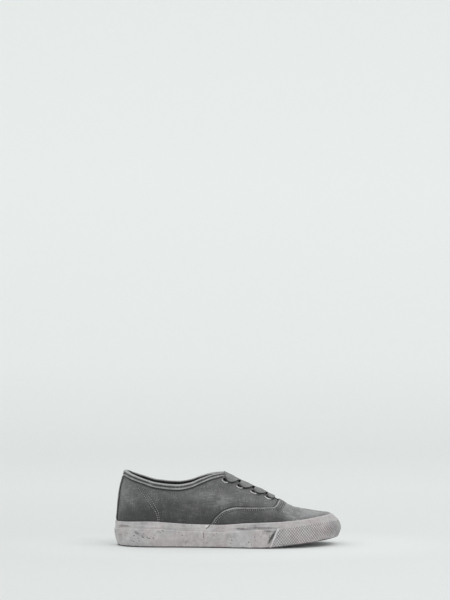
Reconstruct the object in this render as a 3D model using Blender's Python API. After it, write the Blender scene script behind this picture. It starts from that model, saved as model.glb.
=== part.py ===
"""Low canvas deck sneaker, right shoe, about EU 38, standing empty and unbent on its sole.

Metres. +X runs from heel to toe, -Y is the outer (lateral) side and +Z is up.
The origin is on the floor, under the middle of the shoe's box.

Inside this file a place along the shoe is measured from the back of the heel, and a "station"
runs round one half of the shoe: 0 at the back of the heel, 1 where the heel's turn ends,
2 where the toe's turn begins and 3 at the tip of the toe. At each station the upper's section
springs from the sidewall's rim (angle 0) and closes over the instep ridge (angle 90 degrees).
"""

import math

import bmesh
import bpy
import numpy as np
from mathutils import Matrix, Vector

# ---- Driving dimensions ----
LENGTH = 0.266  # sole, heel to toe
HEEL_CENTRE = 0.036  # centre of the heel's turn
TOE_CENTRE = 0.212  # centre of the toe's turn
TOE_SWING = 0.0040  # how far the toe's centre line swings to the inner side
GAP = 0.0003  # between pieces that touch
SOFT_GAP = 0.0004  # between layers of cloth whose facets differ

CANVAS = 0.0018  # canvas and lining
LAYER = 0.0008  # one more layer of canvas
LAYER_START = 0.0010  # from the sidewall's rim to a layer's lower edge
TAPE = 0.0008  # outer sidewall tape and toe bumper
FOXING = 0.0014  # inner sidewall
BED_SHARE = 0.5  # height of the lasting edge, as a share of the sidewall
INSOLE = 0.0035

BINDING_DROP = 0.0062
HEEL_STAY_TURN = 1 / 7  # half width of the heel stay, as a station
THROAT_TOP = 0.126  # where collar and lace facing meet
THROAT_END = 0.198  # where the facings meet, under the vamp
VAMP_START = 0.110  # where the vamp's seam meets the sole
SEAM_CREST = 0.193  # where the vamp's seam crosses the ridge

EYELETS_AT = (0.1294, 0.1459, 0.1625, 0.1792)
EYELET_FROM_EDGE = 0.0098
EYELET_RADIUS = 0.0046
EYELET_HOLE = 0.0024
LACE_WIDTH = 0.0092
LACE_THICKNESS = 0.0013
TONGUE = 0.0020
TONGUE_DEPTH = 0.0038  # below the outside of the facings
TONGUE_TOP_DEPTH = 0.0050  # at its free end, clear of the collar's binding
TONGUE_SWELL = 0.0014  # its rise between the facings
TONGUE_TOP = 0.119
TONGUE_FOOT = 0.203

LATERAL, MEDIAL = -1, 1

# ---- Tables: (share of length from the heel, value in metres), unless the columns are named ----
# Outline of the sole at its widest, seen from above: (share of length, sideways).
OUTLINE = (
    (0.000, 0.0000),
    (0.030, -0.0195),
    (0.100, -0.0308),
    (0.200, -0.0345),
    (0.320, -0.0357),
    (0.440, -0.0390),
    (0.560, -0.0447),
    (0.660, -0.0482),
    (0.760, -0.0460),
    (0.860, -0.0368),
    (0.940, -0.0222),
    (0.985, -0.0062),
    (1.000, 0.0085),
    (0.985, 0.0228),
    (0.940, 0.0340),
    (0.860, 0.0436),
    (0.760, 0.0480),
    (0.680, 0.0464),
    (0.560, 0.0392),
    (0.440, 0.0336),
    (0.320, 0.0332),
    (0.200, 0.0338),
    (0.100, 0.0306),
    (0.030, 0.0195),
)
SIDEWALL_TOP = (
    (0.00, 0.0288),
    (0.15, 0.0299),
    (0.33, 0.0272),
    (0.45, 0.0266),
    (0.59, 0.0291),
    (0.75, 0.0308),
    (0.84, 0.0325),
    (0.93, 0.0350),
    (1.00, 0.0358),
)
# How far the sidewall leans in at its top, and tucks in at the floor.
SIDEWALL_LEAN = (
    (0.00, 0.0000),
    (0.20, 0.0012),
    (0.60, 0.0023),
    (0.80, 0.0038),
    (0.93, 0.0066),
    (1.00, 0.0095),
)
SIDEWALL_TUCK = (
    (0.00, 0.0042),
    (0.08, 0.0024),
    (0.50, 0.0013),
    (0.85, 0.0018),
    (0.95, 0.0028),
    (1.00, 0.0036),
)
# Share of its height at which the sidewall is widest.
SIDEWALL_WIDEST = ((0.00, 0.54), (0.50, 0.46), (1.00, 0.37))
# Top of the outer bands below the sidewall's top.
TAPE_DROP = ((0.00, 0.0080), (1.00, 0.0080))
BUMPER_DROP = ((0.70, 0.0078), (0.78, 0.0056), (0.90, 0.0052), (1.00, 0.0056))
# Crest of the last: the instep ridge, and behind the throat the cone that the collar cuts open.
RIDGE = (
    (0.000, 0.1090),
    (0.136, 0.1110),
    (0.280, 0.1180),
    (0.340, 0.1080),
    (0.385, 0.0985),
    (0.475, 0.0858),
    (0.520, 0.0792),
    (0.591, 0.0700),
    (0.662, 0.0615),
    (0.700, 0.0562),
    (0.750, 0.0489),
    (0.785, 0.0439),
    (0.820, 0.0414),
    (0.875, 0.0394),
    (0.930, 0.0376),
    (1.000, 0.0368),
)
# Roundness of the sections: higher is squarer, 2 is an ellipse.
SIDE_POWER = {
    -1: ((0.00, 2.0), (0.20, 2.15), (0.40, 2.15), (0.55, 2.0), (0.68, 1.95), (0.80, 2.0), (1.00, 2.0)),
    1: ((0.00, 2.0), (0.20, 2.2), (0.35, 2.5), (0.48, 2.7), (0.60, 2.4), (0.70, 2.1), (0.80, 2.0), (1.00, 2.0)),
}
TOP_POWER = ((0.00, 2.0), (0.48, 2.0), (0.65, 1.8), (0.76, 1.5), (0.90, 1.3), (1.00, 1.25))
COLLAR_EDGE = (
    (0.050, 0.0866),
    (0.080, 0.0834),
    (0.120, 0.0795),
    (0.191, 0.0740),
    (0.280, 0.0719),
    (0.332, 0.0739),
    (0.385, 0.0790),
    (0.438, 0.0829),
    (0.475, 0.0836),
)
THROAT_HALF_GAP = ((0.475, 0.0094), (0.54, 0.0096), (0.61, 0.0102), (0.66, 0.0102), (0.72, 0.0085))
SEAM_HEIGHT = (
    (0.415, 0.0250),
    (0.450, 0.0358),
    (0.487, 0.0433),
    (0.536, 0.0465),
    (0.600, 0.0461),
    (0.665, 0.0458),
    (0.698, 0.0461),
    (0.712, 0.0483),
    (0.720, 0.0515),
    (0.7245, 0.0522),
)
# Fullness of the quarter and heel: (station, outward bow).
QUARTER_BOW = ((0.0, -0.0003), (0.5, 0.0006), (1.0, 0.0012), (1.4, 0.0008), (1.7, 0.0), (3.0, 0.0))
BOW_HEIGHT = 0.056

# Places along the straight part of the sections.
STRAIGHT_PLACES = (
    0.046, 0.058, 0.070, 0.082, 0.093, 0.102, 0.110, 0.118, 0.126, 0.135,
    0.145, 0.155, 0.165, 0.175, 0.183, 0.189, 0.1915, 0.1927, 0.194, 0.198, 0.204,
)  # fmt: skip
HEEL_STEPS = 7
TOE_STEPS = 9


# ---- Curves ----
def curve(rows, place):
    """Value at a place of the smooth curve through (place, value) rows, level beyond both ends."""
    places = [row[0] for row in rows]
    values = [row[1] for row in rows]
    if place <= places[0]:
        return values[0]
    if place >= places[-1]:
        return values[-1]
    k = max(i for i, at in enumerate(places[:-1]) if at <= place)

    def slope(i):
        if i in (0, len(rows) - 1):
            return 0.0 if len(rows) > 2 else (values[1] - values[0]) / (places[1] - places[0])
        before = (values[i] - values[i - 1]) / (places[i] - places[i - 1])
        after = (values[i + 1] - values[i]) / (places[i + 1] - places[i])
        return 0.0 if before * after <= 0 else 2 * before * after / (before + after)

    span = places[k + 1] - places[k]
    t = (place - places[k]) / span
    rise = values[k + 1] - values[k]
    return (
        values[k]
        + rise * t * t * (3 - 2 * t)
        + span * t * (1 - t) * (slope(k) * (1 - t) - slope(k + 1) * t)
    )


def closed_spline(points, steps=60):
    """Even, smooth closed curve through the points: a periodic cubic spline on chord length."""
    p = np.array(points)
    n = len(p)
    span = np.linalg.norm(np.roll(p, -1, axis=0) - p, axis=1)
    system = np.zeros((n, n))
    bend = np.zeros((n, 2))
    for i in range(n):
        after = (i + 1) % n
        system[i, i - 1] = span[i - 1]
        system[i, i] = 2 * (span[i - 1] + span[i])
        system[i, after] = span[i]
        bend[i] = 6 * ((p[after] - p[i]) / span[i] - (p[i] - p[i - 1]) / span[i - 1])
    second = np.linalg.solve(system, bend)
    curve_points = []
    for i in range(n):
        after = (i + 1) % n
        for t in np.arange(steps) / steps:
            s = 1 - t
            pull = ((s**3 - s) * second[i] + (t**3 - t) * second[after]) * span[i] ** 2 / 6
            curve_points.append(s * p[i] + t * p[after] + pull)
    return np.array(curve_points)


def ridge_sideways(x):
    """Sideways place of the ridge at x."""
    share = min(max((x - HEEL_CENTRE) / (TOE_CENTRE - HEEL_CENTRE), 0.0), 1.0)
    return TOE_SWING * share * share * (3 - 2 * share)


def station_of(x):
    return 1 + (x - HEEL_CENTRE) / (TOE_CENTRE - HEEL_CENTRE)


def spine(station):
    """The point (x, y) that the section at a station turns about."""
    share = min(max(station - 1.0, 0.0), 1.0)
    x = HEEL_CENTRE + share * (TOE_CENTRE - HEEL_CENTRE)
    return np.array([x, ridge_sideways(x)])


def half_outline(side):
    """One half of the sole's outline, as rows of station, x, y and the outward normal's x and y."""
    points = closed_spline([(share * LENGTH, y) for share, y in OUTLINE])
    points[:, 0] -= points[:, 0].min()
    along = np.roll(points, -1, axis=0) - np.roll(points, 1, axis=0)
    along /= np.linalg.norm(along, axis=1)[:, None]
    rows = []
    for (x, y), (ax, ay) in zip(points, along):
        aside = side * (y - ridge_sideways(x))
        if aside < -0.001:
            continue
        if x < HEEL_CENTRE:
            station = math.atan2(aside, HEEL_CENTRE - x) / (math.pi / 2)
        elif x > TOE_CENTRE:
            station = 2 + math.atan2(x - TOE_CENTRE, aside) / (math.pi / 2)
        else:
            station = station_of(x)
        rows.append((station, x, y, ay, -ax))
    return np.array(sorted(rows))


HALVES = {side: half_outline(side) for side in (LATERAL, MEDIAL)}


def outline_at(side, station):
    """(point, outward normal) of the sole's outline, in plan."""
    half = HALVES[LATERAL if station in (0.0, 3.0) else side]
    x, y, nx, ny = (np.interp(station, half[:, 0], half[:, k]) for k in (1, 2, 3, 4))
    return np.array([x, y]), np.array([nx, ny]) / math.hypot(nx, ny)


# ---- Sole ----
def floor_rise(x):
    """Toe spring: the height of the sole's underside."""
    start, bend, slope = 0.163, 0.020, 0.10
    past = x - start
    if past <= 0:
        return 0.0
    if past < bend:
        return slope * past * past / (2 * bend)
    return slope * (past - bend / 2)


def wall_point(side, station, height_share, depth):
    """A point of the sidewall, depth in from its outermost face, at a share of its height."""
    plan, normal = outline_at(side, station)
    share = plan[0] / LENGTH
    widest = curve(SIDEWALL_WIDEST, share)
    if height_share > widest:
        inset = curve(SIDEWALL_LEAN, share) * ((height_share - widest) / (1 - widest)) ** 2
    else:
        inset = curve(SIDEWALL_TUCK, share) * ((widest - height_share) / widest) ** 1.4
    x, y = plan - normal * (inset + depth)
    low = floor_rise(plan[0])
    return Vector((x, y, low + (curve(SIDEWALL_TOP, share) - low) * height_share))


def share_below_top(side, station, drops):
    """Share of the sidewall's height at which a band ends, from a table of drops."""
    x = outline_at(side, station)[0][0]
    return 1 - curve(drops, x / LENGTH) / (curve(SIDEWALL_TOP, x / LENGTH) - floor_rise(x))


FOXING_DEPTH = TAPE + GAP
UPPER_DEPTH = FOXING_DEPTH + FOXING + GAP


# ---- Upper ----
def section(side, station):
    """(centre, rim, side power, top power) of the upper's section at a station."""
    rim = wall_point(side, station, 1.0, UPPER_DEPTH)
    share = rim.x / LENGTH
    return spine(station), rim, curve(SIDE_POWER[side], share), curve(TOP_POWER, share)


def surface(side, station, angle):
    """A point of the upper's outside."""
    centre, rim, side_power, top_power = section(side, station)
    reach = max(math.cos(angle), 0.0) ** (2 / side_power)
    climb = math.sin(angle) ** (2 / top_power)
    out = np.array([rim.x, rim.y]) - centre
    x, y = centre + out * reach
    z = rim.z + (curve(RIDGE, x / LENGTH) - rim.z) * climb
    bow = curve(QUARTER_BOW, station) * math.sin(math.pi * min((z - rim.z) / BOW_HEIGHT, 1.0))
    x, y = np.array([x, y]) + out / np.linalg.norm(out) * bow
    return Vector((x, y, z))


def surface_normal(side, station, angle):
    """Outward normal of the upper's outside."""
    if angle > math.radians(89.5):
        x = spine(station)[0] / LENGTH
        rise = (curve(RIDGE, x + 0.005) - curve(RIDGE, x - 0.005)) / (0.01 * LENGTH)
        return Vector((-rise, 0, 1)).normalized()
    near, tilt = 0.01, math.radians(0.4)
    up = surface(side, station, angle + tilt) - surface(side, station, max(angle - tilt, 0.0))
    if station in (0.0, 3.0):  # the two halves mirror there
        along = Vector((0, side if station == 0.0 else -side, 0))
    else:
        ahead, behind = min(station + near, 3.0), max(station - near, 0.0)
        along = surface(side, ahead, angle) - surface(side, behind, angle)
    normal = along.cross(up) if side == LATERAL else up.cross(along)
    return normal.normalized()


def lifted(side, station, angle, lift):
    return surface(side, station, angle) + surface_normal(side, station, angle) * lift


def angle_where(side, station, test, limit=math.pi / 2):
    """The angle at which test(point) turns true, going up the section to a limit."""
    low, high = 0.0, limit
    for _ in range(30):
        middle = (low + high) / 2
        if test(surface(side, station, middle)):
            high = middle
        else:
            low = middle
    return high


def throat_angle(side, station, half_gap):
    centre, rim, side_power, _ = section(side, station)
    reach = half_gap / math.hypot(rim.x - centre[0], rim.y - centre[1])
    return math.acos(min(reach ** (side_power / 2), 1.0))


def top_angle(side, station):
    """Where the upper's wall ends: collar edge, throat edge, or closed over the ridge."""
    x = spine(station)[0]
    if x > THROAT_END - 1e-6:
        return math.pi / 2
    if x > THROAT_TOP + 1e-6:
        return throat_angle(side, station, curve(THROAT_HALF_GAP, x / LENGTH))
    return angle_where(side, station, lambda p: p.z > curve(COLLAR_EDGE, p.x / LENGTH))


def seam_angle(side, station):
    """Where the vamp ends: its seam across the quarter, or closed over the ridge."""
    x = spine(station)[0]
    if x > SEAM_CREST:
        return math.pi / 2
    return angle_where(side, station, lambda p: p.z > curve(SEAM_HEIGHT, p.x / LENGTH))


# ---- Stations round the shoe ----
def half_stations(first=0.0, last=3.0):
    heel = [k / HEEL_STEPS for k in range(HEEL_STEPS + 1)]
    straight = [station_of(x) for x in STRAIGHT_PLACES]
    toe = [2 + k / TOE_STEPS for k in range(TOE_STEPS + 1)]
    return [s for s in heel + straight + toe if first - 1e-6 <= s <= last + 1e-6]


def full_ring():
    """Stations once round the shoe, from the heel along the outer side to the toe and back."""
    half = half_stations()
    return [(LATERAL, s) for s in half] + [(MEDIAL, s) for s in reversed(half[1:-1])]


def round_heel(last):
    """Stations from the outer side round the heel to the inner side."""
    half = half_stations(last=last)
    return [(LATERAL, s) for s in reversed(half)] + [(MEDIAL, s) for s in half[1:]]


def round_toe(first):
    """Stations from the outer side round the toe to the inner side."""
    half = half_stations(first=first)
    return [(LATERAL, s) for s in half] + [(MEDIAL, s) for s in reversed(half[:-1])]


# ---- Meshes ----
def material(name, colour, roughness, metallic=0.0):
    made = bpy.data.materials.new(name)
    made.use_nodes = True
    shader = made.node_tree.nodes["Principled BSDF"]
    shader.inputs["Base Color"].default_value = (*colour, 1.0)
    shader.inputs["Roughness"].default_value = roughness
    shader.inputs["Metallic"].default_value = metallic
    made.diffuse_color = (*colour, 1.0)
    return made


def centred(point):
    """From the heel's back to the frame's origin."""
    return Vector((point[0] - MIDDLE.x, point[1] - MIDDLE.y, point[2]))


def finished(name, bm, finish):
    """An object from faces that close on themselves once points that meet are merged."""
    bmesh.ops.remove_doubles(bm, verts=bm.verts, dist=1e-6)
    bmesh.ops.recalc_face_normals(bm, faces=bm.faces)
    quads = [f for f in bm.faces if len(f.verts) == 4]
    bmesh.ops.triangulate(bm, faces=quads, quad_method="SHORT_EDGE")
    mesh = bpy.data.meshes.new(name)
    bm.to_mesh(mesh)
    bm.free()
    mesh.shade_smooth()
    mesh.set_sharp_from_angle(angle=math.radians(40))
    if finish:
        mesh.materials.append(finish)
    made = bpy.data.objects.new(name, mesh)
    PARTS.objects.link(made)
    return made


def loft(name, sections, finish=None, ring=False, caps=False):
    """A solid through closed sections. A ring joins the last section to the first."""
    bm = bmesh.new()
    grid = [[bm.verts.new(centred(p)) for p in section_points] for section_points in sections]
    for a, b in list(zip(grid, grid[1:])) + ([(grid[-1], grid[0])] if ring else []):
        for i in range(len(a)):
            j = (i + 1) % len(a)
            bm.faces.new((a[i], b[i], b[j], a[j]))
    if caps:
        bm.faces.new(grid[0])
        bm.faces.new(grid[-1][::-1])
    return finished(name, bm, finish)


def shell(name, columns, finish, ring=False):
    """A sheet with thickness. A column is (outer points, inner points, meets at its top)."""
    bm = bmesh.new()
    grid = []
    for outer, inner, meets in columns:
        outer, inner = ([bm.verts.new(centred(p)) for p in face] for face in (outer, inner))
        grid.append((outer, inner, meets))
    for a, b in list(zip(grid, grid[1:])) + ([(grid[-1], grid[0])] if ring else []):
        for k in range(len(a[0]) - 1):
            bm.faces.new((a[0][k], b[0][k], b[0][k + 1], a[0][k + 1]))
            bm.faces.new((a[1][k], a[1][k + 1], b[1][k + 1], b[1][k]))
        bm.faces.new((a[0][0], a[1][0], b[1][0], b[0][0]))
        if not (a[2] and b[2]):
            bm.faces.new((a[0][-1], b[0][-1], b[1][-1], a[1][-1]))
    if not ring:
        for outer, inner, _ in (grid[0], grid[-1]):
            for k in range(len(outer) - 1):
                bm.faces.new((outer[k], outer[k + 1], inner[k + 1], inner[k]))
    return finished(name, bm, finish)


def hide(helper):
    """Keeps a Boolean's helper out of the model."""
    helper.hide_render = True
    helper.display_type = "WIRE"
    PARTS.objects.unlink(helper)
    CUTTERS.objects.link(helper)


def cut(made, cutters, name):
    """Subtracts the cutters from a part."""
    for k, cutter in enumerate(cutters):
        hide(cutter)
        hole = made.modifiers.new(f"{name} {k}", "BOOLEAN")
        hole.operation = "DIFFERENCE"
        hole.solver = "EXACT"
        hole.object = cutter


# ---- The sole's pieces ----
GROOVES_AT = tuple(0.022 + 0.0165 * k for k in range(8)) + tuple(0.1695 + 0.0165 * k for k in range(5))
GROOVE_WIDTH = 0.003
GROOVE_DEPTH = 0.0016
GROOVE_SWEEP = 0.007
GROOVE_MARGIN = 0.011  # from the sole's edge


def build_outsole(finish):
    """Core and tread in one: lasting edge on top, toe spring below, grooves across the tread."""
    heights = (0.0, 0.22, BED_SHARE)
    sections = []
    for s in half_stations():
        lateral = [wall_point(LATERAL, s, h, UPPER_DEPTH) for h in heights]
        medial = [wall_point(MEDIAL, s, h, UPPER_DEPTH) for h in heights]
        sections.append(lateral + medial[::-1])
    sole = loft("outsole", sections, finish)
    cut(sole, [groove_cutter(x) for x in GROOVES_AT], "groove")
    return sole


def groove_cutter(x):
    """A shallow chevron channel across the tread, following the toe spring."""
    station = station_of(x)
    sections = []
    for side, reach in ((LATERAL, 1.0), (MEDIAL, 0.0), (MEDIAL, 1.0)):
        edge = outline_at(side, station)[0][1] - side * GROOVE_MARGIN
        y = edge if reach else 0.002
        back = x - GROOVE_SWEEP * reach
        front = back + GROOVE_WIDTH
        low, high = floor_rise(back) - 0.002, floor_rise(back) + GROOVE_DEPTH
        sections.append([(back, y, low), (front, y, low), (front, y, high), (back, y, high)])
    return loft("groove_cutter", sections, caps=True)


SOLE_FOOT = 0.012  # the sidewall stops this share of its height above the floor
WALL_STEPS = (0.22, BED_SHARE, 0.66)
BUMPER_BACK = 0.1805  # the foot of its slanted back edge
BUMPER_LEAN = 0.0125  # how much further forward that edge would be at the sidewall's top
TAPE_SPACE = 0.0006  # between the tape's end and the bumper


def build_foxing(finish):
    """The inner sidewall, a closed band from the tread to above the lasting edge."""
    sections = []
    for side, s in full_ring():
        heights = (SOLE_FOOT, *WALL_STEPS, 0.83, 1.0)
        outer = [wall_point(side, s, h, FOXING_DEPTH) for h in heights]
        inner = [wall_point(side, s, h, FOXING_DEPTH + FOXING) for h in heights]
        sections.append(outer + inner[::-1])
    return loft("foxing", sections, finish, ring=True)


def band_section(side, drops, station_at):
    """Outside and back face of a band laid on the foxing. station_at gives the station at a height."""
    top = share_below_top(side, station_at(0.7), drops)
    shares = (SOLE_FOOT, *WALL_STEPS, top)
    outer = [wall_point(side, station_at(h), h, 0.0) for h in shares]
    inner = [wall_point(side, station_at(h), h, TAPE) for h in shares[::-1]]
    return outer + inner


def build_band(name, ring, drops, shift, finish):
    """A band whose two ends follow the bumper's slanted back edge, moved along by shift."""

    def slanted(height):
        return station_of(BUMPER_BACK + shift + BUMPER_LEAN * height)

    sections = [band_section(side, drops, lambda _, s=s: s) for side, s in ring]
    sections.insert(0, band_section(LATERAL, drops, slanted))
    sections.append(band_section(MEDIAL, drops, slanted))
    return loft(name, sections, finish, caps=True)


def build_insole(finish):
    """Footbed, lying on the core inside the upper."""
    inset = UPPER_DEPTH + CANVAS + 2 * SOFT_GAP
    sections = []
    for s in half_stations():
        x = outline_at(LATERAL, s)[0][0]
        high_share = BED_SHARE + INSOLE / (curve(SIDEWALL_TOP, x / LENGTH) - floor_rise(x))
        rise = Vector((0, 0, GAP))
        low = [wall_point(side, s, BED_SHARE, inset) + rise for side in (LATERAL, MEDIAL)]
        high = [wall_point(side, s, high_share, inset) + rise for side in (MEDIAL, LATERAL)]
        sections.append(low + high)
    return loft("insole", sections, finish)


# ---- The upper's pieces ----
WALL_SHARES = (0.0, 0.12, 0.28, 0.47, 0.68, 1.0)  # of the angle up to the top edge's strip
SKIRT_STEPS = (BED_SHARE, 0.66, 0.83)
MEETS = math.pi / 2 - 1e-6


def edge_strip(side, station):
    """The angle a binding's width below the upper's top edge."""
    top = top_angle(side, station)
    if top > MEETS:
        return top * 0.87
    edge = surface(side, station, top)
    return angle_where(side, station, lambda p: (p - edge).length < BINDING_DROP, top)


def build_upper(finish):
    """One hollow wall of canvas, open at collar, throat and underneath."""
    columns = []
    for side, s in full_ring():
        top, strip = top_angle(side, s), edge_strip(side, s)
        angles = [strip * share for share in WALL_SHARES] + [top]
        outer = [wall_point(side, s, h, UPPER_DEPTH) for h in SKIRT_STEPS]
        inner = [wall_point(side, s, h, UPPER_DEPTH + CANVAS) for h in SKIRT_STEPS]
        outer[0].z += GAP
        inner[0].z += GAP
        outer += [surface(side, s, angle) for angle in angles]
        inner += [lifted(side, s, angle, -CANVAS) for angle in angles]
        columns.append((outer, inner, top > MEETS))
    upper = shell("upper", columns, finish, ring=True)
    cut(upper, [eyelet_hole(side, x) for side in (LATERAL, MEDIAL) for x in EYELETS_AT], "eyelet hole")
    return upper


def layer_over(name, ring, span, steps, finish):
    """A layer of canvas over the upper: span(side, station) gives its lowest and highest angle."""
    columns = []
    for side, s in ring:
        low, high = span(side, s)
        angles = [low + (high - low) * k / steps for k in range(steps + 1)]
        faces = [[lifted(side, s, angle, lift) for angle in angles] for lift in (SOFT_GAP + LAYER, SOFT_GAP)]
        columns.append((*faces, high > MEETS))
    return shell(name, columns, finish)


def off_rim(side, station):
    """The lowest angle of a layer: the upper there is LAYER_START from the sidewall's rim."""
    rim = surface(side, station, 0.0)
    return angle_where(side, station, lambda p: (p - rim).length > LAYER_START)


def build_vamp(finish):
    """Toe piece, sewn over the quarter along a seam that sweeps back to the sole."""

    def span(side, station):
        low = off_rim(side, station)
        return low, max(seam_angle(side, station), low + 0.03)

    return layer_over("vamp", round_toe(station_of(VAMP_START)), span, 6, finish)


def build_heel_stay(finish):
    def span(side, station):
        strip = surface(side, station, edge_strip(side, station))
        below = angle_where(side, station, lambda p: p.z > strip.z - 0.0006)
        return off_rim(side, station), below

    return layer_over("heel_stay", round_heel(HEEL_STAY_TURN), span, 6, finish)


def build_collar_binding(finish):
    """Folded tape over the collar's edge, from one facing round the heel to the other."""
    sections = []
    out, inside = SOFT_GAP, -CANVAS - SOFT_GAP
    for side, s in round_heel(station_of(THROAT_TOP)):
        top, foot = top_angle(side, s), edge_strip(side, s)
        edge, low = surface(side, s, top), surface(side, s, foot)
        out_top, out_low = surface_normal(side, s, top), surface_normal(side, s, foot)
        clear = edge + (edge - low).normalized() * SOFT_GAP
        fold = edge + (edge - low).normalized() * (SOFT_GAP + LAYER)
        sections.append(
            [
                low + out_low * (out + LAYER),
                edge + out_top * (out + LAYER),
                fold + out_top * out,
                fold + out_top * inside,
                edge + out_top * (inside - LAYER),
                low + out_low * (inside - LAYER),
                low + out_low * inside,
                clear + out_top * inside,
                clear + out_top * out,
                low + out_low * out,
            ]
        )
    return loft("collar_binding", sections, finish, caps=True)


def on_instep(x, aside, lift):
    """A point over the instep at x, a signed distance aside from the ridge, lifted off the upper."""
    side = LATERAL if aside < 0 else MEDIAL
    station = station_of(x)
    angle = throat_angle(side, station, abs(aside))
    return lifted(side, station, angle, lift)


def build_tongue(finish):
    """Tongue under the facings, sewn in under the vamp's edge."""
    depths = ((0.0, TONGUE_TOP_DEPTH), (0.3, TONGUE_DEPTH), (0.75, TONGUE_DEPTH), (1.0, 0.0028))
    columns = []
    for k in range(10):
        share = k / 9
        x = TONGUE_TOP + (TONGUE_FOOT - TONGUE_TOP) * share
        half = 0.0255 - 0.0075 * share - 0.005 * (1 - share) ** 8
        depth = curve(depths, share)
        swell = TONGUE_SWELL * min(4 * share, 1.0, 5 * (1 - share))
        faces = []
        for base in (depth, depth + TONGUE):
            across = [half * j / 4 for j in range(-4, 5)]
            rises = [swell * max(1 - (aside / 0.0095) ** 2, 0.0) for aside in across]
            faces.append([on_instep(x, aside, rise - base) for aside, rise in zip(across, rises)])
        columns.append((*faces, False))
    return shell("tongue", columns, finish)


def eyelet_place(side, x):
    """(point on the upper, outward normal) of an eyelet."""
    station = station_of(x)
    aside = curve(THROAT_HALF_GAP, x / LENGTH) + EYELET_FROM_EDGE
    angle = throat_angle(side, station, aside)
    return surface(side, station, angle), surface_normal(side, station, angle)


def eyelet_matrix(side, x):
    point, normal = eyelet_place(side, x)
    turn = normal.to_track_quat("Z", "Y").to_matrix().to_4x4()
    return Matrix.Translation(point) @ turn


def turned(profile, steps, place):
    """Sections of a solid of revolution about a place's own Z axis."""
    sections = []
    for k in range(steps):
        turn = 2 * math.pi * (k + 0.5) / steps
        sections.append([place @ Vector((r * math.cos(turn), r * math.sin(turn), z)) for r, z in profile])
    return sections


def eyelet_hole(side, x):
    radius, reach = EYELET_HOLE + 0.0009, 0.004
    profile = ((0, -reach), (radius, -reach), (radius, reach), (0, reach))
    return loft("eyelet_hole", turned(profile, 10, eyelet_matrix(side, x)), ring=True)


def build_eyelet(name, place, finish):
    """Rolled metal eyelet: flange outside, barrel through the canvas."""
    barrel = EYELET_HOLE + 0.0005
    profile = (
        (EYELET_HOLE, 0.0010),
        (EYELET_HOLE + 0.0008, 0.0014),
        (EYELET_RADIUS, SOFT_GAP),
        (barrel, SOFT_GAP),
        (barrel, -CANVAS - 0.0002),
        (EYELET_HOLE, -CANVAS - 0.0002),
    )
    return loft(name, turned(profile, 12, place), finish, ring=True)


def build_eyelets(finish):
    for side, word in ((LATERAL, "outer"), (MEDIAL, "inner")):
        for number, x in enumerate(EYELETS_AT, 1):
            build_eyelet(f"eyelet_{word}_{number}", eyelet_matrix(side, x), finish)


# ---- Laces: what shows of them between the eyelets ----
LACE_BAR_AHEAD = 0.0036  # from the last eyelets' centres
LACE_START = 0.0055  # from the eyelet's centre, clear of its flange


def lace_band(name, start, end, lifts, half_width, finish):
    """A flat lace between two (x, aside) places. lifts are (share of the way, lift) rows."""
    sections = []
    steps = 8
    for k in range(steps + 1):
        t = k / steps
        x = start[0] + (end[0] - start[0]) * t
        aside = start[1] + (end[1] - start[1]) * t
        low = curve(lifts, t)
        high = low + LACE_THICKNESS
        back, front = x - half_width, x + half_width
        corners = ((back, low), (front, low), (front, high), (back, high))
        sections.append([on_instep(place, aside, lift) for place, lift in corners])
    return loft(name, sections, finish, caps=True)


def build_lace_cross(number, finish):
    """Two laces, each from outside one eyelet over the throat and down under the other facing."""
    x, ahead = EYELETS_AT[number - 1], EYELETS_AT[number]
    edge, edge_ahead = (curve(THROAT_HALF_GAP, at / LENGTH) for at in (x, ahead))
    from_aside, to_aside = edge + EYELET_FROM_EDGE, -(edge_ahead + EYELET_FROM_EDGE)
    begin, finish_at = from_aside - LACE_START, -(edge_ahead - 0.0016)
    half_width = LACE_WIDTH / 2 / math.sin(math.atan2(from_aside - to_aside, ahead - x))
    bands = []
    for side, crown in ((LATERAL, 0.0016), (MEDIAL, 0.0008)):
        start, end = (
            (x + (ahead - x) * (from_aside - aside) / (from_aside - to_aside), side * aside)
            for aside in (begin, finish_at)
        )
        lifts = ((0.0, SOFT_GAP), (0.2, SOFT_GAP), (0.52, crown), (1.0, -0.0030))
        bands.append(lace_band(f"lace_cross_{number}", start, end, lifts, half_width, finish))
    over, under = bands
    under.name = f"under_{number}"
    hide(under)
    join = over.modifiers.new("crossing", "BOOLEAN")
    join.operation = "UNION"
    join.solver = "EXACT"
    join.object = under
    return over


def build_lace_bar(finish):
    """The lowest lace, straight across between the last two eyelets."""
    x = EYELETS_AT[-1] + LACE_BAR_AHEAD
    begin = curve(THROAT_HALF_GAP, x / LENGTH) + EYELET_FROM_EDGE - LACE_START
    lifts = ((0.0, SOFT_GAP), (0.5, 0.0016), (1.0, SOFT_GAP))
    return lace_band("lace_bar", (x, -begin), (x, begin), lifts, LACE_WIDTH / 2, finish)


# ---- Scene ----
def clear_scene():
    for old in list(bpy.data.objects):
        bpy.data.objects.remove(old)


def collection(name):
    made = bpy.data.collections.new(name)
    bpy.context.scene.collection.children.link(made)
    return made


def middle_of_sole():
    """The point of the floor under the middle of the shoe's box."""
    widest = [wall_point(side, s, BED_SHARE, 0.0) for side, s in full_ring()]
    x, y = ((min(p[k] for p in widest) + max(p[k] for p in widest)) / 2 for k in (0, 1))
    return Vector((x, y, 0))


clear_scene()
PARTS = collection("deck sneaker")
CUTTERS = collection("cutters")
MIDDLE = middle_of_sole()

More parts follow.
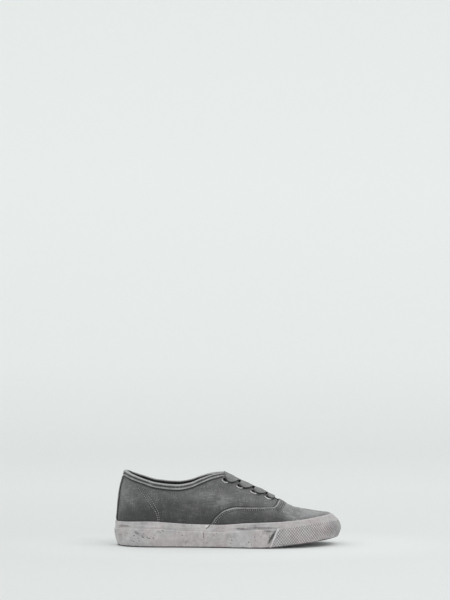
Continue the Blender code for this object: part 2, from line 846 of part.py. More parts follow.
canvas = material("washed canvas", (0.115, 0.115, 0.118), 0.92)
vamp_canvas = material("vamp canvas", (0.125, 0.125, 0.128), 0.92)
binding_cloth = material("worn binding", (0.23, 0.23, 0.235), 0.9)
rubber = material("washed rubber", (0.42, 0.39, 0.385), 0.75)
tread_rubber = material("tread rubber", (0.33, 0.31, 0.305), 0.8)
footbed = material("footbed cloth", (0.10, 0.10, 0.10), 0.95)
lace_cotton = material("lace cotton", (0.19, 0.19, 0.195), 0.95)
eyelet_metal = material("eyelet metal", (0.45, 0.46, 0.46), 0.35, metallic=1.0)

build_outsole(tread_rubber)
build_foxing(rubber)
build_band("sidewall_tape", round_heel(station_of(0.176)), TAPE_DROP, -TAPE_SPACE, rubber)
build_band("toe_bumper", round_toe(station_of(0.1925)), BUMPER_DROP, 0.0, rubber)
build_insole(footbed)
build_upper(canvas)
build_vamp(vamp_canvas)
build_heel_stay(binding_cloth)
build_collar_binding(binding_cloth)
build_tongue(canvas)
build_eyelets(eyelet_metal)
for cross in (1, 2, 3):
    build_lace_cross(cross, lace_cotton)
build_lace_bar(lace_cotton)
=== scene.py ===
"""Looks of the worn deck sneaker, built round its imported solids.

Metres. In the functions below a place along the shoe is measured from the back of the heel.
A "turn" runs round the shoe: 0 at the back of the heel, 1 where the heel's turn ends, 2 where the
toe's begins and 3 at the tip, negative on the outer side and positive on the inner side. At each
turn the upper's section springs from the sidewall's rim (angle 0) and closes over the instep
ridge (angle 90 degrees). Pieces are set into the frame by taking off MIDDLE.
"""

import math

import bmesh
import bpy
import numpy as np
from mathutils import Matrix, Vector, kdtree, noise


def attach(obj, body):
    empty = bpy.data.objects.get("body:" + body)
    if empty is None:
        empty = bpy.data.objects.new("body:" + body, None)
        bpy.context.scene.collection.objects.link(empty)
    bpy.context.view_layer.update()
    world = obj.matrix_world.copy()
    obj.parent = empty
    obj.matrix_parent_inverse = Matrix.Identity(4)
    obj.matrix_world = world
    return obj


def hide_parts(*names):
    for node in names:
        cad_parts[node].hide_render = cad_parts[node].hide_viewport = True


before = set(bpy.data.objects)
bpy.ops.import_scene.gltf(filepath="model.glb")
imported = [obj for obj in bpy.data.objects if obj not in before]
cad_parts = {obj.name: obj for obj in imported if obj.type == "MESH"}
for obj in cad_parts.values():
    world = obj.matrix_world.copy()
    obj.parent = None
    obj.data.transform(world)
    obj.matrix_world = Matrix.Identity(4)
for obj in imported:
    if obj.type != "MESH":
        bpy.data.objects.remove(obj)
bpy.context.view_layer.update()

# ---- The shoe's own sizes, as in its solids ----
LENGTH = 0.266
HEEL_CENTRE = 0.036
TOE_CENTRE = 0.212
TOE_SWING = 0.0040
GAP = 0.0003
SOFT_GAP = 0.0004
CANVAS = 0.0018
LAYER = 0.0008
TAPE = 0.0008
FOXING = 0.0014
BED_SHARE = 0.5
INSOLE = 0.0035
SOLE_FOOT = 0.012
FOXING_DEPTH = TAPE + GAP
UPPER_DEPTH = FOXING_DEPTH + FOXING + GAP
BINDING_DROP = 0.0062
HEEL_STAY_TURN = 1 / 7
THROAT_TOP = 0.126
THROAT_END = 0.198
VAMP_START = 0.110
SEAM_CREST = 0.193
BUMPER_BACK = 0.1805
BUMPER_LEAN = 0.0125
TAPE_SPACE = 0.0006
EYELETS_AT = (0.1294, 0.1459, 0.1625, 0.1792)
EYELET_FROM_EDGE = 0.0098
EYELET_RADIUS = 0.0046
EYELET_HOLE = 0.0024
LACE_WIDTH = 0.0092
LACE_THICKNESS = 0.0013
LACE_BAR_AHEAD = 0.0036
TONGUE = 0.0020
TONGUE_DEPTH = 0.0038
TONGUE_TOP_DEPTH = 0.0050
TONGUE_SWELL = 0.0014
TONGUE_TOP = 0.119
TONGUE_FOOT = 0.203
LATERAL, MEDIAL = -1, 1
MEETS = math.pi / 2 - 1e-6

OUTLINE = (
    (0.000, 0.0000), (0.030, -0.0195), (0.100, -0.0308), (0.200, -0.0345), (0.320, -0.0357),
    (0.440, -0.0390), (0.560, -0.0447), (0.660, -0.0482), (0.760, -0.0460), (0.860, -0.0368),
    (0.940, -0.0222), (0.985, -0.0062), (1.000, 0.0085), (0.985, 0.0228), (0.940, 0.0340),
    (0.860, 0.0436), (0.760, 0.0480), (0.680, 0.0464), (0.560, 0.0392), (0.440, 0.0336),
    (0.320, 0.0332), (0.200, 0.0338), (0.100, 0.0306), (0.030, 0.0195),
)
SIDEWALL_TOP = (
    (0.00, 0.0288), (0.15, 0.0299), (0.33, 0.0272), (0.45, 0.0266), (0.59, 0.0291),
    (0.75, 0.0308), (0.84, 0.0325), (0.93, 0.0350), (1.00, 0.0358),
)
SIDEWALL_LEAN = (
    (0.00, 0.0), (0.20, 0.0012), (0.60, 0.0023), (0.80, 0.0038), (0.93, 0.0066), (1.00, 0.0095),
)
SIDEWALL_TUCK = (
    (0.00, 0.0042), (0.08, 0.0024), (0.50, 0.0013), (0.85, 0.0018), (0.95, 0.0028), (1.00, 0.0036),
)
SIDEWALL_WIDEST = ((0.00, 0.54), (0.50, 0.46), (1.00, 0.37))
TAPE_DROP = 0.0080
BUMPER_DROP = (
    (0.700, 0.0074), (0.720, 0.0064), (0.745, 0.0053), (0.800, 0.0045), (0.880, 0.0043), (0.940, 0.0045),
    (1.000, 0.0051),
)
RIDGE = (
    (0.000, 0.1090), (0.136, 0.1110), (0.280, 0.1180), (0.340, 0.1080), (0.385, 0.0985),
    (0.475, 0.0858), (0.520, 0.0792), (0.591, 0.0700), (0.662, 0.0615), (0.700, 0.0562),
    (0.750, 0.0489), (0.785, 0.0439), (0.820, 0.0414), (0.875, 0.0394), (0.930, 0.0376),
    (1.000, 0.0368),
)
SIDE_POWER = {
    LATERAL: ((0.00, 2.0), (0.20, 2.15), (0.40, 2.15), (0.55, 2.0), (0.68, 1.95), (0.80, 2.0), (1.00, 2.0)),
    MEDIAL: (
        (0.00, 2.0), (0.20, 2.2), (0.35, 2.5), (0.48, 2.7), (0.60, 2.4), (0.70, 2.1), (0.80, 2.0),
        (1.00, 2.0),
    ),
}
TOP_POWER = ((0.00, 2.0), (0.48, 2.0), (0.65, 1.8), (0.76, 1.5), (0.90, 1.3), (1.00, 1.25))
COLLAR_EDGE = (
    (0.050, 0.0866), (0.080, 0.0834), (0.120, 0.0795), (0.191, 0.0740), (0.280, 0.0719),
    (0.332, 0.0739), (0.385, 0.0790), (0.438, 0.0829), (0.475, 0.0836),
)
THROAT_HALF_GAP = ((0.475, 0.0094), (0.54, 0.0096), (0.61, 0.0102), (0.66, 0.0102), (0.72, 0.0085))
SEAM_HEIGHT = (
    (0.415, 0.0250), (0.450, 0.0358), (0.487, 0.0433), (0.536, 0.0465), (0.600, 0.0461),
    (0.665, 0.0458), (0.698, 0.0461), (0.712, 0.0483), (0.720, 0.0515), (0.7245, 0.0522),
)
QUARTER_BOW = ((0.0, -0.0003), (0.5, 0.0006), (1.0, 0.0012), (1.4, 0.0008), (1.7, 0.0), (3.0, 0.0))
BOW_HEIGHT = 0.056
SOLID_PLACES = (0.155, 0.165, 0.175, 0.183, 0.189, 0.1915, 0.1927, 0.194, 0.198, 0.204)
GROOVE_PITCH = 0.0165
GROOVES_AT = tuple(
    start + GROOVE_PITCH * k for start, count in ((0.022, 8), (0.1695, 5)) for k in range(count)
)
GROOVE_WIDTH = 0.003
GROOVE_DEPTH = 0.0016
GROOVE_SWEEP = 0.007
GROOVE_MARGIN = 0.011
GROOVE_BEND = 0.002  # the chevrons turn this far inward of the middle line

# ---- Wear: creases, listed for each side ----
# Soft troughs with a ridge on each flank: (side, first end (x, z), second end (x, z), half width, depth).
SIDE_CREASES = (
    (LATERAL, (0.046, 0.064), (0.068, 0.046), 0.0050, 0.0007),
    (LATERAL, (0.066, 0.063), (0.088, 0.050), 0.0045, 0.0006),
    (LATERAL, (0.030, 0.052), (0.045, 0.038), 0.0050, 0.0005),
    (LATERAL, (0.088, 0.062), (0.104, 0.055), 0.0040, 0.0005),
    (LATERAL, (0.150, 0.043), (0.176, 0.037), 0.0040, 0.0006),
    (LATERAL, (0.184, 0.046), (0.199, 0.036), 0.0036, 0.0006),
    (LATERAL, (0.201, 0.043), (0.219, 0.035), 0.0040, 0.0006),
    (MEDIAL, (0.050, 0.066), (0.072, 0.048), 0.0050, 0.0008),
    (MEDIAL, (0.074, 0.062), (0.098, 0.051), 0.0045, 0.0006),
    (MEDIAL, (0.110, 0.055), (0.135, 0.044), 0.0050, 0.0006),
    (MEDIAL, (0.152, 0.044), (0.178, 0.037), 0.0040, 0.0007),
    (MEDIAL, (0.186, 0.046), (0.203, 0.036), 0.0036, 0.0007),
    (MEDIAL, (0.206, 0.042), (0.224, 0.035), 0.0040, 0.0006),
)
# Across the top of the vamp: (first end (x, y), second end (x, y), half width, depth).
TOP_CREASES = (
    ((0.199, -0.018), (0.203, 0.016), 0.0030, 0.0006),
    ((0.208, -0.024), (0.210, 0.020), 0.0034, 0.0007),
    ((0.219, -0.016), (0.217, 0.022), 0.0036, 0.0005),
)


# ---- Curves and the shoe's surfaces ----
def curve(rows, places):
    """Values at places of the smooth curve through (place, value) rows, level beyond both ends."""
    at, value = np.array(rows, float).T
    places = np.clip(places, at[0], at[-1])
    k = np.clip(np.searchsorted(at, places, side="right") - 1, 0, len(at) - 2)
    span, rise = np.diff(at), np.diff(value)
    slope = rise / span
    tangent = np.zeros(len(at))
    if len(at) == 2:
        tangent[:] = slope[0]
    else:
        product = slope[:-1] * slope[1:]
        whole = np.where(product > 0, slope[:-1] + slope[1:], 1.0)
        tangent[1:-1] = np.where(product > 0, 2 * product / whole, 0.0)
    t = (places - at[k]) / span[k]
    bend = tangent[k] * (1 - t) - tangent[k + 1] * t
    return value[k] + rise[k] * t * t * (3 - 2 * t) + span[k] * t * (1 - t) * bend


def closed_spline(points, steps=60):
    """Even, smooth closed curve through the points: a periodic cubic spline on chord length."""
    p = np.array(points)
    n = len(p)
    span = np.linalg.norm(np.roll(p, -1, axis=0) - p, axis=1)
    system, bend = np.zeros((n, n)), np.zeros((n, 2))
    for i in range(n):
        after = (i + 1) % n
        system[i, i - 1] = span[i - 1]
        system[i, i] = 2 * (span[i - 1] + span[i])
        system[i, after] = span[i]
        bend[i] = 6 * ((p[after] - p[i]) / span[i] - (p[i] - p[i - 1]) / span[i - 1])
    second = np.linalg.solve(system, bend)
    made = []
    for i in range(n):
        after = (i + 1) % n
        for t in np.arange(steps) / steps:
            s = 1 - t
            pull = ((s**3 - s) * second[i] + (t**3 - t) * second[after]) * span[i] ** 2 / 6
            made.append(s * p[i] + t * p[after] + pull)
    return np.array(made)


def smooth(value, low, high):
    """0 below low, 1 above high and a smooth step between."""
    t = np.clip((value - low) / (high - low), 0.0, 1.0)
    return t * t * (3 - 2 * t)


def ridge_sideways(x):
    """Where the middle line of the upper lies: it swings inwards to the toe."""
    return TOE_SWING * smooth(x, HEEL_CENTRE, TOE_CENTRE)


def turn_of(x):
    """The turn, on the inner side, whose section stands at x."""
    return 1 + (x - HEEL_CENTRE) / (TOE_CENTRE - HEEL_CENTRE)


def spine(turn):
    """The point (x, y) that a section turns about."""
    x = HEEL_CENTRE + np.clip(np.abs(turn) - 1.0, 0.0, 1.0) * (TOE_CENTRE - HEEL_CENTRE)
    return np.stack([x, ridge_sideways(x)], axis=-1)


def half_outline(side):
    """One half of the sole's outline: rows of turn's size, x, y and the outward normal's x and y."""
    points = closed_spline([(share * LENGTH, y) for share, y in OUTLINE])
    points[:, 0] -= points[:, 0].min()
    along = np.roll(points, -1, axis=0) - np.roll(points, 1, axis=0)
    along /= np.linalg.norm(along, axis=1)[:, None]
    rows = []
    for (x, y), (ax, ay) in zip(points, along):
        aside = side * (y - float(ridge_sideways(x)))
        if aside < -0.001:
            continue
        if x < HEEL_CENTRE:
            station = math.atan2(aside, HEEL_CENTRE - x) / (math.pi / 2)
        elif x > TOE_CENTRE:
            station = 2 + math.atan2(x - TOE_CENTRE, aside) / (math.pi / 2)
        else:
            station = turn_of(x)
        rows.append((station, x, y, ay, -ax))
    return np.array(sorted(rows))


HALVES = {side: half_outline(side) for side in (LATERAL, MEDIAL)}


def outline_at(turn):
    """Plan point and outward normal of the sole's edge."""
    station = np.abs(turn)
    found = np.empty(np.shape(turn) + (4,))
    inner = (turn > 0) & (station < 3)
    for side, mine in ((LATERAL, ~inner), (MEDIAL, inner)):
        half = HALVES[side]
        for k in range(4):
            found[mine, k] = np.interp(station[mine], half[:, 0], half[:, k + 1])
    normal = found[..., 2:]
    return found[..., :2], normal / np.linalg.norm(normal, axis=-1)[..., None]


def floor_rise(x):
    """Toe spring: the height of the sole's underside."""
    start, bend, slope = 0.163, 0.020, 0.10
    past = np.maximum(x - start, 0.0)
    return np.where(past < bend, slope * past * past / (2 * bend), slope * (past - bend / 2))


def wall_point(turn, share, depth):
    """Points of the sidewall, depth in from its outermost face, at a share of its height."""
    turn, share, depth = np.broadcast_arrays(*(np.asarray(v, float) for v in (turn, share, depth)))
    plan, normal = outline_at(turn)
    along = plan[..., 0] / LENGTH
    widest = curve(SIDEWALL_WIDEST, along)
    over = np.clip((share - widest) / (1 - widest), 0, None) ** 2
    under = np.clip((widest - share) / widest, 0, None) ** 1.4
    inset = curve(SIDEWALL_LEAN, along) * over + curve(SIDEWALL_TUCK, along) * under
    low = floor_rise(plan[..., 0])
    z = low + (curve(SIDEWALL_TOP, along) - low) * share
    return np.concatenate([plan - normal * (inset + depth)[..., None], z[..., None]], axis=-1)


def wall_height(turn):
    """Height of the sidewall, floor side to rim, and its x along the shoe."""
    x = outline_at(turn)[0][..., 0]
    return curve(SIDEWALL_TOP, x / LENGTH) - floor_rise(x), x


def side_power(turn, along):
    """How full the upper's section is at its side: the power of its curve."""
    return np.where(turn > 0, curve(SIDE_POWER[MEDIAL], along), curve(SIDE_POWER[LATERAL], along))


def surface(turn, angle):
    """Points of the upper's outside."""
    turn, angle = np.broadcast_arrays(np.asarray(turn, float), np.asarray(angle, float))
    rim = wall_point(turn, 1.0, UPPER_DEPTH)
    centre = spine(turn)
    along = rim[..., 0] / LENGTH
    out = rim[..., :2] - centre
    reach = np.clip(np.cos(angle), 0, None) ** (2 / side_power(turn, along))
    climb = np.clip(np.sin(angle), 0, None) ** (2 / curve(TOP_POWER, along))
    xy = centre + out * reach[..., None]
    z = rim[..., 2] + (curve(RIDGE, xy[..., 0] / LENGTH) - rim[..., 2]) * climb
    swell = np.sin(np.pi * np.minimum((z - rim[..., 2]) / BOW_HEIGHT, 1.0))
    bow = curve(QUARTER_BOW, np.abs(turn)) * swell
    xy = xy + out / np.linalg.norm(out, axis=-1)[..., None] * bow[..., None]
    return np.concatenate([xy, z[..., None]], axis=-1)


def wrapped(turn):
    """The turn brought back between -3 and 3."""
    return (turn + 3) % 6 - 3


def surface_normal(turn, angle):
    """Outward normals of the upper's outside."""
    turn, angle = np.broadcast_arrays(np.asarray(turn, float), np.asarray(angle, float))
    near, tilt = 0.01, math.radians(0.4)
    up = surface(turn, angle + tilt) - surface(turn, np.maximum(angle - tilt, 0.0))
    along = surface(wrapped(turn + near), angle) - surface(wrapped(turn - near), angle)
    normal = np.cross(up, along)
    x = spine(turn)[..., 0] / LENGTH
    rise = (curve(RIDGE, x + 0.005) - curve(RIDGE, x - 0.005)) / (0.01 * LENGTH)
    crest = np.stack([-rise, np.zeros_like(rise), np.ones_like(rise)], axis=-1)
    normal = np.where((angle > math.radians(89.5))[..., None], crest, normal)
    return normal / np.linalg.norm(normal, axis=-1)[..., None]


def angle_where(turn, test, limit=math.pi / 2):
    """The angles at which test(points) turns true, going up the sections to a limit."""
    low, high = np.zeros(np.shape(turn)), np.zeros(np.shape(turn)) + limit
    for _ in range(26):
        middle = (low + high) / 2
        true = test(surface(turn, middle))
        high, low = np.where(true, middle, high), np.where(true, low, middle)
    return high


def throat_edge_aside(x):
    """How far the throat's edge keeps from the ridge."""
    return curve(THROAT_HALF_GAP, x / LENGTH)


def throat_angle(turn, half_gap):
    """The angle at which the upper is half_gap aside from the ridge."""
    rim = wall_point(turn, 1.0, UPPER_DEPTH)
    reach = half_gap / np.linalg.norm(rim[..., :2] - spine(turn), axis=-1)
    power = side_power(turn, rim[..., 0] / LENGTH)
    return np.arccos(np.clip(reach ** (power / 2), None, 1.0))


def top_angle(turn):
    """Where the upper's wall ends: collar edge, throat edge, or closed over the ridge."""
    x = spine(turn)[..., 0]
    throat = throat_angle(turn, throat_edge_aside(x))
    back = np.sign(turn) * np.minimum(np.abs(turn), turn_of(THROAT_TOP))
    collar = angle_where(back, lambda p: p[..., 2] > curve(COLLAR_EDGE, p[..., 0] / LENGTH))
    share = smooth(x, THROAT_TOP, THROAT_TOP + 0.009)
    open_top = collar * (1 - share) + throat * share
    return np.where(x > THROAT_END - 1e-6, math.pi / 2, open_top)


def seam_angle(turn):
    """Where the vamp ends: its seam across the quarter, or closed over the ridge."""
    x = spine(turn)[..., 0]
    seam = angle_where(turn, lambda p: p[..., 2] > curve(SEAM_HEIGHT, p[..., 0] / LENGTH))
    return np.where(x > SEAM_CREST, math.pi / 2, seam)


def edge_strip(turn):
    """The angle a binding's width below the upper's top edge."""
    top = top_angle(turn)
    edge = surface(turn, top)
    foot = angle_where(turn, lambda p: np.linalg.norm(p - edge, axis=-1) < BINDING_DROP, top)
    return np.where(top > MEETS, top * 0.87, foot)


def settle(turn, angle, aim, axes=(0, 1, 2)):
    """Turns and angles whose points lie nearest to aim, on the given axes, from a first guess."""
    axes, step = list(axes), 1e-4
    for _ in range(12):
        here = surface(turn, angle)[..., axes]
        by_turn = (surface(turn + step, angle)[..., axes] - here) / step
        by_angle = (surface(turn, angle + step)[..., axes] - here) / step
        miss = aim - here
        a, b = (by_turn * by_turn).sum(-1), (by_turn * by_angle).sum(-1)
        c = (by_angle * by_angle).sum(-1)
        d, e = (by_turn * miss).sum(-1), (by_angle * miss).sum(-1)
        whole = a * c - b * b + 1e-16
        turn = turn + np.clip((c * d - b * e) / whole, -0.1, 0.1)
        angle = np.clip(angle + np.clip((a * e - b * d) / whole, -0.2, 0.2), 0.001, math.pi / 2)
    return turn, angle


# ---- Relief of the worn cloth ----
def trough(distance, past, half_width, depth):
    """A soft trough with a low ridge on each flank, fading past its ends."""
    d = distance / half_width
    shape = np.exp(-d * d) - 0.45 * np.exp(-((np.abs(d) - 1.7) ** 2))
    return -depth * shape * np.exp(-((past / 0.006) ** 2))


def from_line(across, up, first, second):
    """Distance from the line through two ends, and how far past them, in a plane."""
    (x1, y1), (x2, y2) = first, second
    length = math.hypot(x2 - x1, y2 - y1)
    ux, uy = (x2 - x1) / length, (y2 - y1) / length
    along = (across - x1) * ux + (up - y1) * uy
    bow = 0.0018 * np.sin(np.pi * np.clip(along / length, 0, 1))
    return (across - x1) * -uy + (up - y1) * ux + bow, np.maximum(-along, along - length).clip(0)


def lumps(points, size, seed):
    """Gentle swelling of cloth, from -1 to 1."""
    flat = points.reshape(-1, 3) / size + seed
    return np.array([noise.noise(p) for p in flat.tolist()]).reshape(points.shape[:-1]) * 1.6


def relief(points, turn):
    """How far the worn upper stands proud of its true shape."""
    x, y, z = points[..., 0], points[..., 1], points[..., 2]
    turn = np.broadcast_to(turn, x.shape)
    made = 0.00035 * lumps(points, 0.030, 3.1) + 0.00016 * lumps(points, 0.009, 8.4)
    for side, first, second, width, depth in SIDE_CREASES:
        distance, past = from_line(x, z, first, second)
        made = made + trough(distance, past, width, depth) * smooth(side * y, 0.004, 0.014)
    for first, second, width, depth in TOP_CREASES:
        distance, past = from_line(x, y, first, second)
        made = made + trough(distance, past, width, depth)
    rim = curve(SIDEWALL_TOP, x / LENGTH)
    laced = smooth(x, 0.118, 0.124) * (1 - smooth(x, 0.184, 0.192))
    aside = np.abs(y - ridge_sideways(x))
    held = 1 - laced * (1 - smooth(aside, 0.024, 0.032))
    return made * smooth(z - rim, 0.001, 0.009) * held


# ---- Meshes ----
def middle_of_sole():
    """The floor's point under the middle of the solids' box, from the stations that they were built on."""
    half = [k / 7 for k in range(8)] + [turn_of(x) for x in SOLID_PLACES] + [2 + k / 9 for k in range(10)]
    widest = wall_point(np.array([-t for t in half] + half[1:-1]), BED_SHARE, 0.0)
    return np.array([*((widest[:, k].min() + widest[:, k].max()) / 2 for k in (0, 1)), 0.0])


MIDDLE = middle_of_sole()


def linked(name, data):
    """A new object in the scene."""
    made = bpy.data.objects.new(name, data)
    bpy.context.scene.collection.objects.link(made)
    return made


def made_mesh(name, points, faces, corner_maps, finishes, finish_index=None, sharp=40):
    """An object from points and faces; doubles are merged and the faces turned outwards."""
    mesh = bpy.data.meshes.new(name)
    mesh.from_pydata((points - MIDDLE).tolist(), [], faces)
    for layer, values in corner_maps.items():
        made = mesh.uv_layers.new(name=layer)
        made.uv.foreach_set("vector", np.asarray(values, np.float32).ravel())
    if finish_index is not None:
        mesh.polygons.foreach_set("material_index", np.asarray(finish_index, np.int32))
    bm = bmesh.new()
    bm.from_mesh(mesh)
    bmesh.ops.remove_doubles(bm, verts=bm.verts, dist=1e-6)
    bmesh.ops.dissolve_degenerate(bm, edges=bm.edges, dist=1e-7)
    bmesh.ops.recalc_face_normals(bm, faces=bm.faces)
    bm.to_mesh(mesh)
    bm.free()
    mesh.shade_smooth()
    mesh.set_sharp_from_angle(angle=math.radians(sharp))
    for finish in finishes:
        mesh.materials.append(finish)
    return linked(name, mesh)


def loft(name, sections, maps, finishes, ring=False, caps=True, skip=None, inside=False, sharp=40):
    """A solid through closed sections, whose first half is its outside and second half its back.

    sections: (columns, points, 3). maps: {layer: (columns, points, 2)}, one more column on a ring.
    skip leaves out the faces from a point to the next, per column. inside gives the back its own finish.
    """
    columns, points = sections.shape[:2]
    half = points // 2
    faces, index, corners = [], [], []
    for c in range(columns if ring else columns - 1):
        d = (c + 1) % columns
        for p in range(points):
            if skip is not None and skip[c] and p == half - 1:
                continue
            q = (p + 1) % points
            faces.append((c * points + p, c * points + q, d * points + q, d * points + p))
            corners.append(((c, p), (c, q), (c + 1, q), (c + 1, p)))
            index.append(1 if inside and half - 1 <= p < points - 1 else 0)
    if caps and not ring:
        for c in (0, columns - 1):
            for p in range(half - 1):
                q = points - 1 - p
                faces.append(tuple(c * points + k for k in (p, p + 1, q - 1, q)))
                corners.append(((c, p), (c, p + 1), (c, q - 1), (c, q)))
                index.append(0)
    spots = np.array(corners)
    corner_maps = {layer: values[spots[..., 0], spots[..., 1]] for layer, values in maps.items()}
    return made_mesh(name, sections.reshape(-1, 3), faces, corner_maps, finishes, index, sharp)


def running(points, axis):
    """Running length along an axis of a grid of points."""
    steps = np.linalg.norm(np.diff(points, axis=axis), axis=-1)
    start = np.zeros_like(np.take(steps, [0], axis=axis))
    return np.concatenate([start, np.cumsum(steps, axis=axis)], axis=axis)


def ladder(turn, low, high, rows, near_low=(0.0,), near_high=(0.0,)):
    """Angles from low to high at even arc length, with given distances kept at both ends.

    Returns (angles, running height, distance below the top), each (columns, rows).
    """
    share = np.linspace(0, 1, 65)
    fine = low[:, None] + (high - low)[:, None] * share
    length = running(surface(turn[:, None], fine), 1)
    total = length[:, -1]
    angles, heights = [], []
    for k in range(len(turn)):
        scale = min(1.0, total[k] / (near_low[-1] + near_high[0] + 0.002))
        lower, upper = np.array(near_low) * scale, total[k] - np.array(near_high) * scale
        between = np.linspace(lower[-1], upper[0], rows + 2)[1:-1]
        at = np.concatenate([lower, between, upper])
        angles.append(np.interp(at, length[k], fine[k]))
        heights.append(at)
    heights = np.array(heights)
    return np.array(angles), heights, total[:, None] - heights


def round_turns(first, last, spacing):
    """Turns from first to last at an even spacing along the sole's edge."""
    fine = np.linspace(first, last, 4001)
    length = running(outline_at(wrapped(fine))[0], 0)
    count = int(round(length[-1] / spacing))
    return np.interp(np.linspace(0, length[-1], count + 1), length, fine)


def paired(out, back):
    """A closed section from its outside and its back, both given from the low end up."""
    return np.concatenate([out, back[:, ::-1]], axis=1)


def laid(cloth, place, seams):
    """The maps that cloth's finish reads, each from its two fields.

    cloth lies along the threads, place holds its height or a painted light level (low where shade is
    painted), and the distance to its edge, and seams the distances to the next row of stitches and to
    the next lap.
    """
    pairs = {"cloth": cloth, "place": place, "seams": seams}
    shape = np.broadcast_shapes(*(np.shape(part) for pair in pairs.values() for part in pair))
    return {
        layer: np.stack([np.broadcast_to(part, shape) for part in pair], axis=-1)
        for layer, pair in pairs.items()
    }


def cloth_maps(points, height, below, seam, lap=1.0):
    """The maps of a layer that stands up from the sole."""
    along = running(points[:, points.shape[1] // 2], 0)[:, None]
    return laid((along, height), (height, below), (seam, lap))


def both_faces(maps, ring=False):
    """Maps for the back of a shell, from those of its outside."""
    made = {}
    for layer, values in maps.items():
        whole = np.concatenate([values, values[:, ::-1]], axis=1)
        if ring:
            last = whole[:1].copy()
            if layer == "cloth":
                last[..., 0] = whole[-1:, :, 0] + 0.001
            whole = np.concatenate([whole, last], axis=0)
        made[layer] = whole
    return made


def distance_to(points, rows):
    """Distance from each point to the nearest of the stitch rows' points."""
    spots = np.concatenate(rows)
    tree = kdtree.KDTree(len(spots))
    for k, spot in enumerate(spots.tolist()):
        tree.insert(spot, k)
    tree.balance()
    flat = points.reshape(-1, 3)
    return np.array([tree.find(p)[2] for p in flat.tolist()]).reshape(points.shape[:-1])


# ---- Places of seams and stitch rows on the upper: (turns, angles) ----
def beside(turn, angle, distance):
    """The row a distance to the left of a path, looking along it from outside."""
    points, normal = surface(turn, angle), surface_normal(turn, angle)
    along = np.gradient(points, axis=0)
    aside = np.cross(normal, along)
    aside /= np.linalg.norm(aside, axis=-1)[:, None]
    return settle(turn, angle, points + aside * distance)


def from_side(side, path):
    """The path through (x, z) places seen from a side, as turns and angles."""
    aim = open_curve(path)
    guess = side * turn_of(np.maximum(aim[:, 0], HEEL_CENTRE + 0.002))
    angle = angle_where(guess, lambda p: p[..., 2] > aim[:, 1])
    return settle(guess, angle, aim, axes=(0, 2))


def open_curve(path, count=60):
    """Even points along a smooth open curve through a path's points."""
    p = np.array(path)
    at = running(p, 0)
    t = np.linspace(0, at[-1], count)
    return np.stack([curve(np.stack([at, p[:, k]], axis=1), t) for k in (0, 1)], axis=-1)


def spaced(turn, angle, spacing):
    """The same path with even points."""
    length = running(surface(turn, angle), 0)
    at = np.linspace(0, length[-1], int(length[-1] / spacing) + 1)
    return np.interp(at, length, turn), np.interp(at, length, angle)


def vamp_seam(side):
    """The vamp's edge on one side, from the sole to its crest."""
    turn = side * np.linspace(turn_of(VAMP_START), turn_of(SEAM_CREST) - 1e-4, 900)
    return spaced(turn, seam_angle(turn), FINE)


FINE = 0.0008  # spacing of points along the shoe's edges
VAMP_ROWS = (0.0030, 0.0052, 0.0076)  # the vamp's rows of stitches, from its edge
VAMP_CORNER = 0.1855  # behind this place it has only the first
COUNTER_ROW = (
    (0.0290, 0.0679), (0.0343, 0.0613), (0.0408, 0.0528), (0.0468, 0.0445),
    (0.0502, 0.0385), (0.0514, 0.0335), (0.0517, 0.0300),
)
COUNTER_SPREAD = ((0, 0.45, 0.8, 1), (0.0042, 0.0040, 0.0026, 0.0014))  # between its two rows, going down
FACING_ROW = (0.133, 0.187, 0.0024)  # from x, to x, distance from the throat's edge


def stitch_rows():
    """Every row of stitches on the upper, by name."""
    rows = {}
    for side, word in ((LATERAL, "outer"), (MEDIAL, "inner")):
        seam = vamp_seam(side)
        corner = tuple(v[spine(seam[0])[:, 0] > VAMP_CORNER] for v in seam)
        for k, (path, distance) in enumerate(zip((seam, corner, corner), VAMP_ROWS)):
            rows[f"vamp_{word}_{k}"] = beside(*path, side * distance)
        counter = from_side(side, COUNTER_ROW)
        spread = np.interp(np.linspace(0, 1, len(counter[0])), *COUNTER_SPREAD)
        rows[f"counter_{word}_back"] = counter
        rows[f"counter_{word}_front"] = beside(*counter, -side * spread[:, None])
        first, last, distance = FACING_ROW
        turn = side * np.linspace(turn_of(first), turn_of(last), 80)
        rows[f"facing_{word}"] = (turn, throat_angle(turn, throat_edge_aside(spine(turn)[:, 0]) + distance))
    return rows


STITCHES = stitch_rows()


def rows_of(*seams):
    """The rows of stitches of these seams."""
    return [row for name, row in STITCHES.items() if name.startswith(seams)]


# ---- Cloth pieces ----
def cloth_points(turn, angle, lift):
    """Points of a layer of worn cloth, lift outside the upper's true face."""
    turn, angle = np.broadcast_arrays(turn, angle)
    base = surface(turn, angle)
    return base + surface_normal(turn, angle) * (lift + relief(base, turn))[..., None]


def half_turns(first, spacing, fine=()):
    """Turns of one half from first to the toe; fine gives stretches (x, x, spacing) of their own."""
    grid = np.linspace(first, 3.0, 6001)
    x = outline_at(-grid)[0][:, 0]
    step = np.full(len(grid), spacing)
    for low, high, own in fine:
        step = np.where((x > low) & (x < high) & (grid < 2.5), own, step)
    length = running(outline_at(-grid)[0], 0)
    count = np.concatenate([[0], np.cumsum(np.diff(length) / step[1:])])
    return np.interp(np.linspace(0, count[-1], int(round(count[-1])) + 1), count, grid)


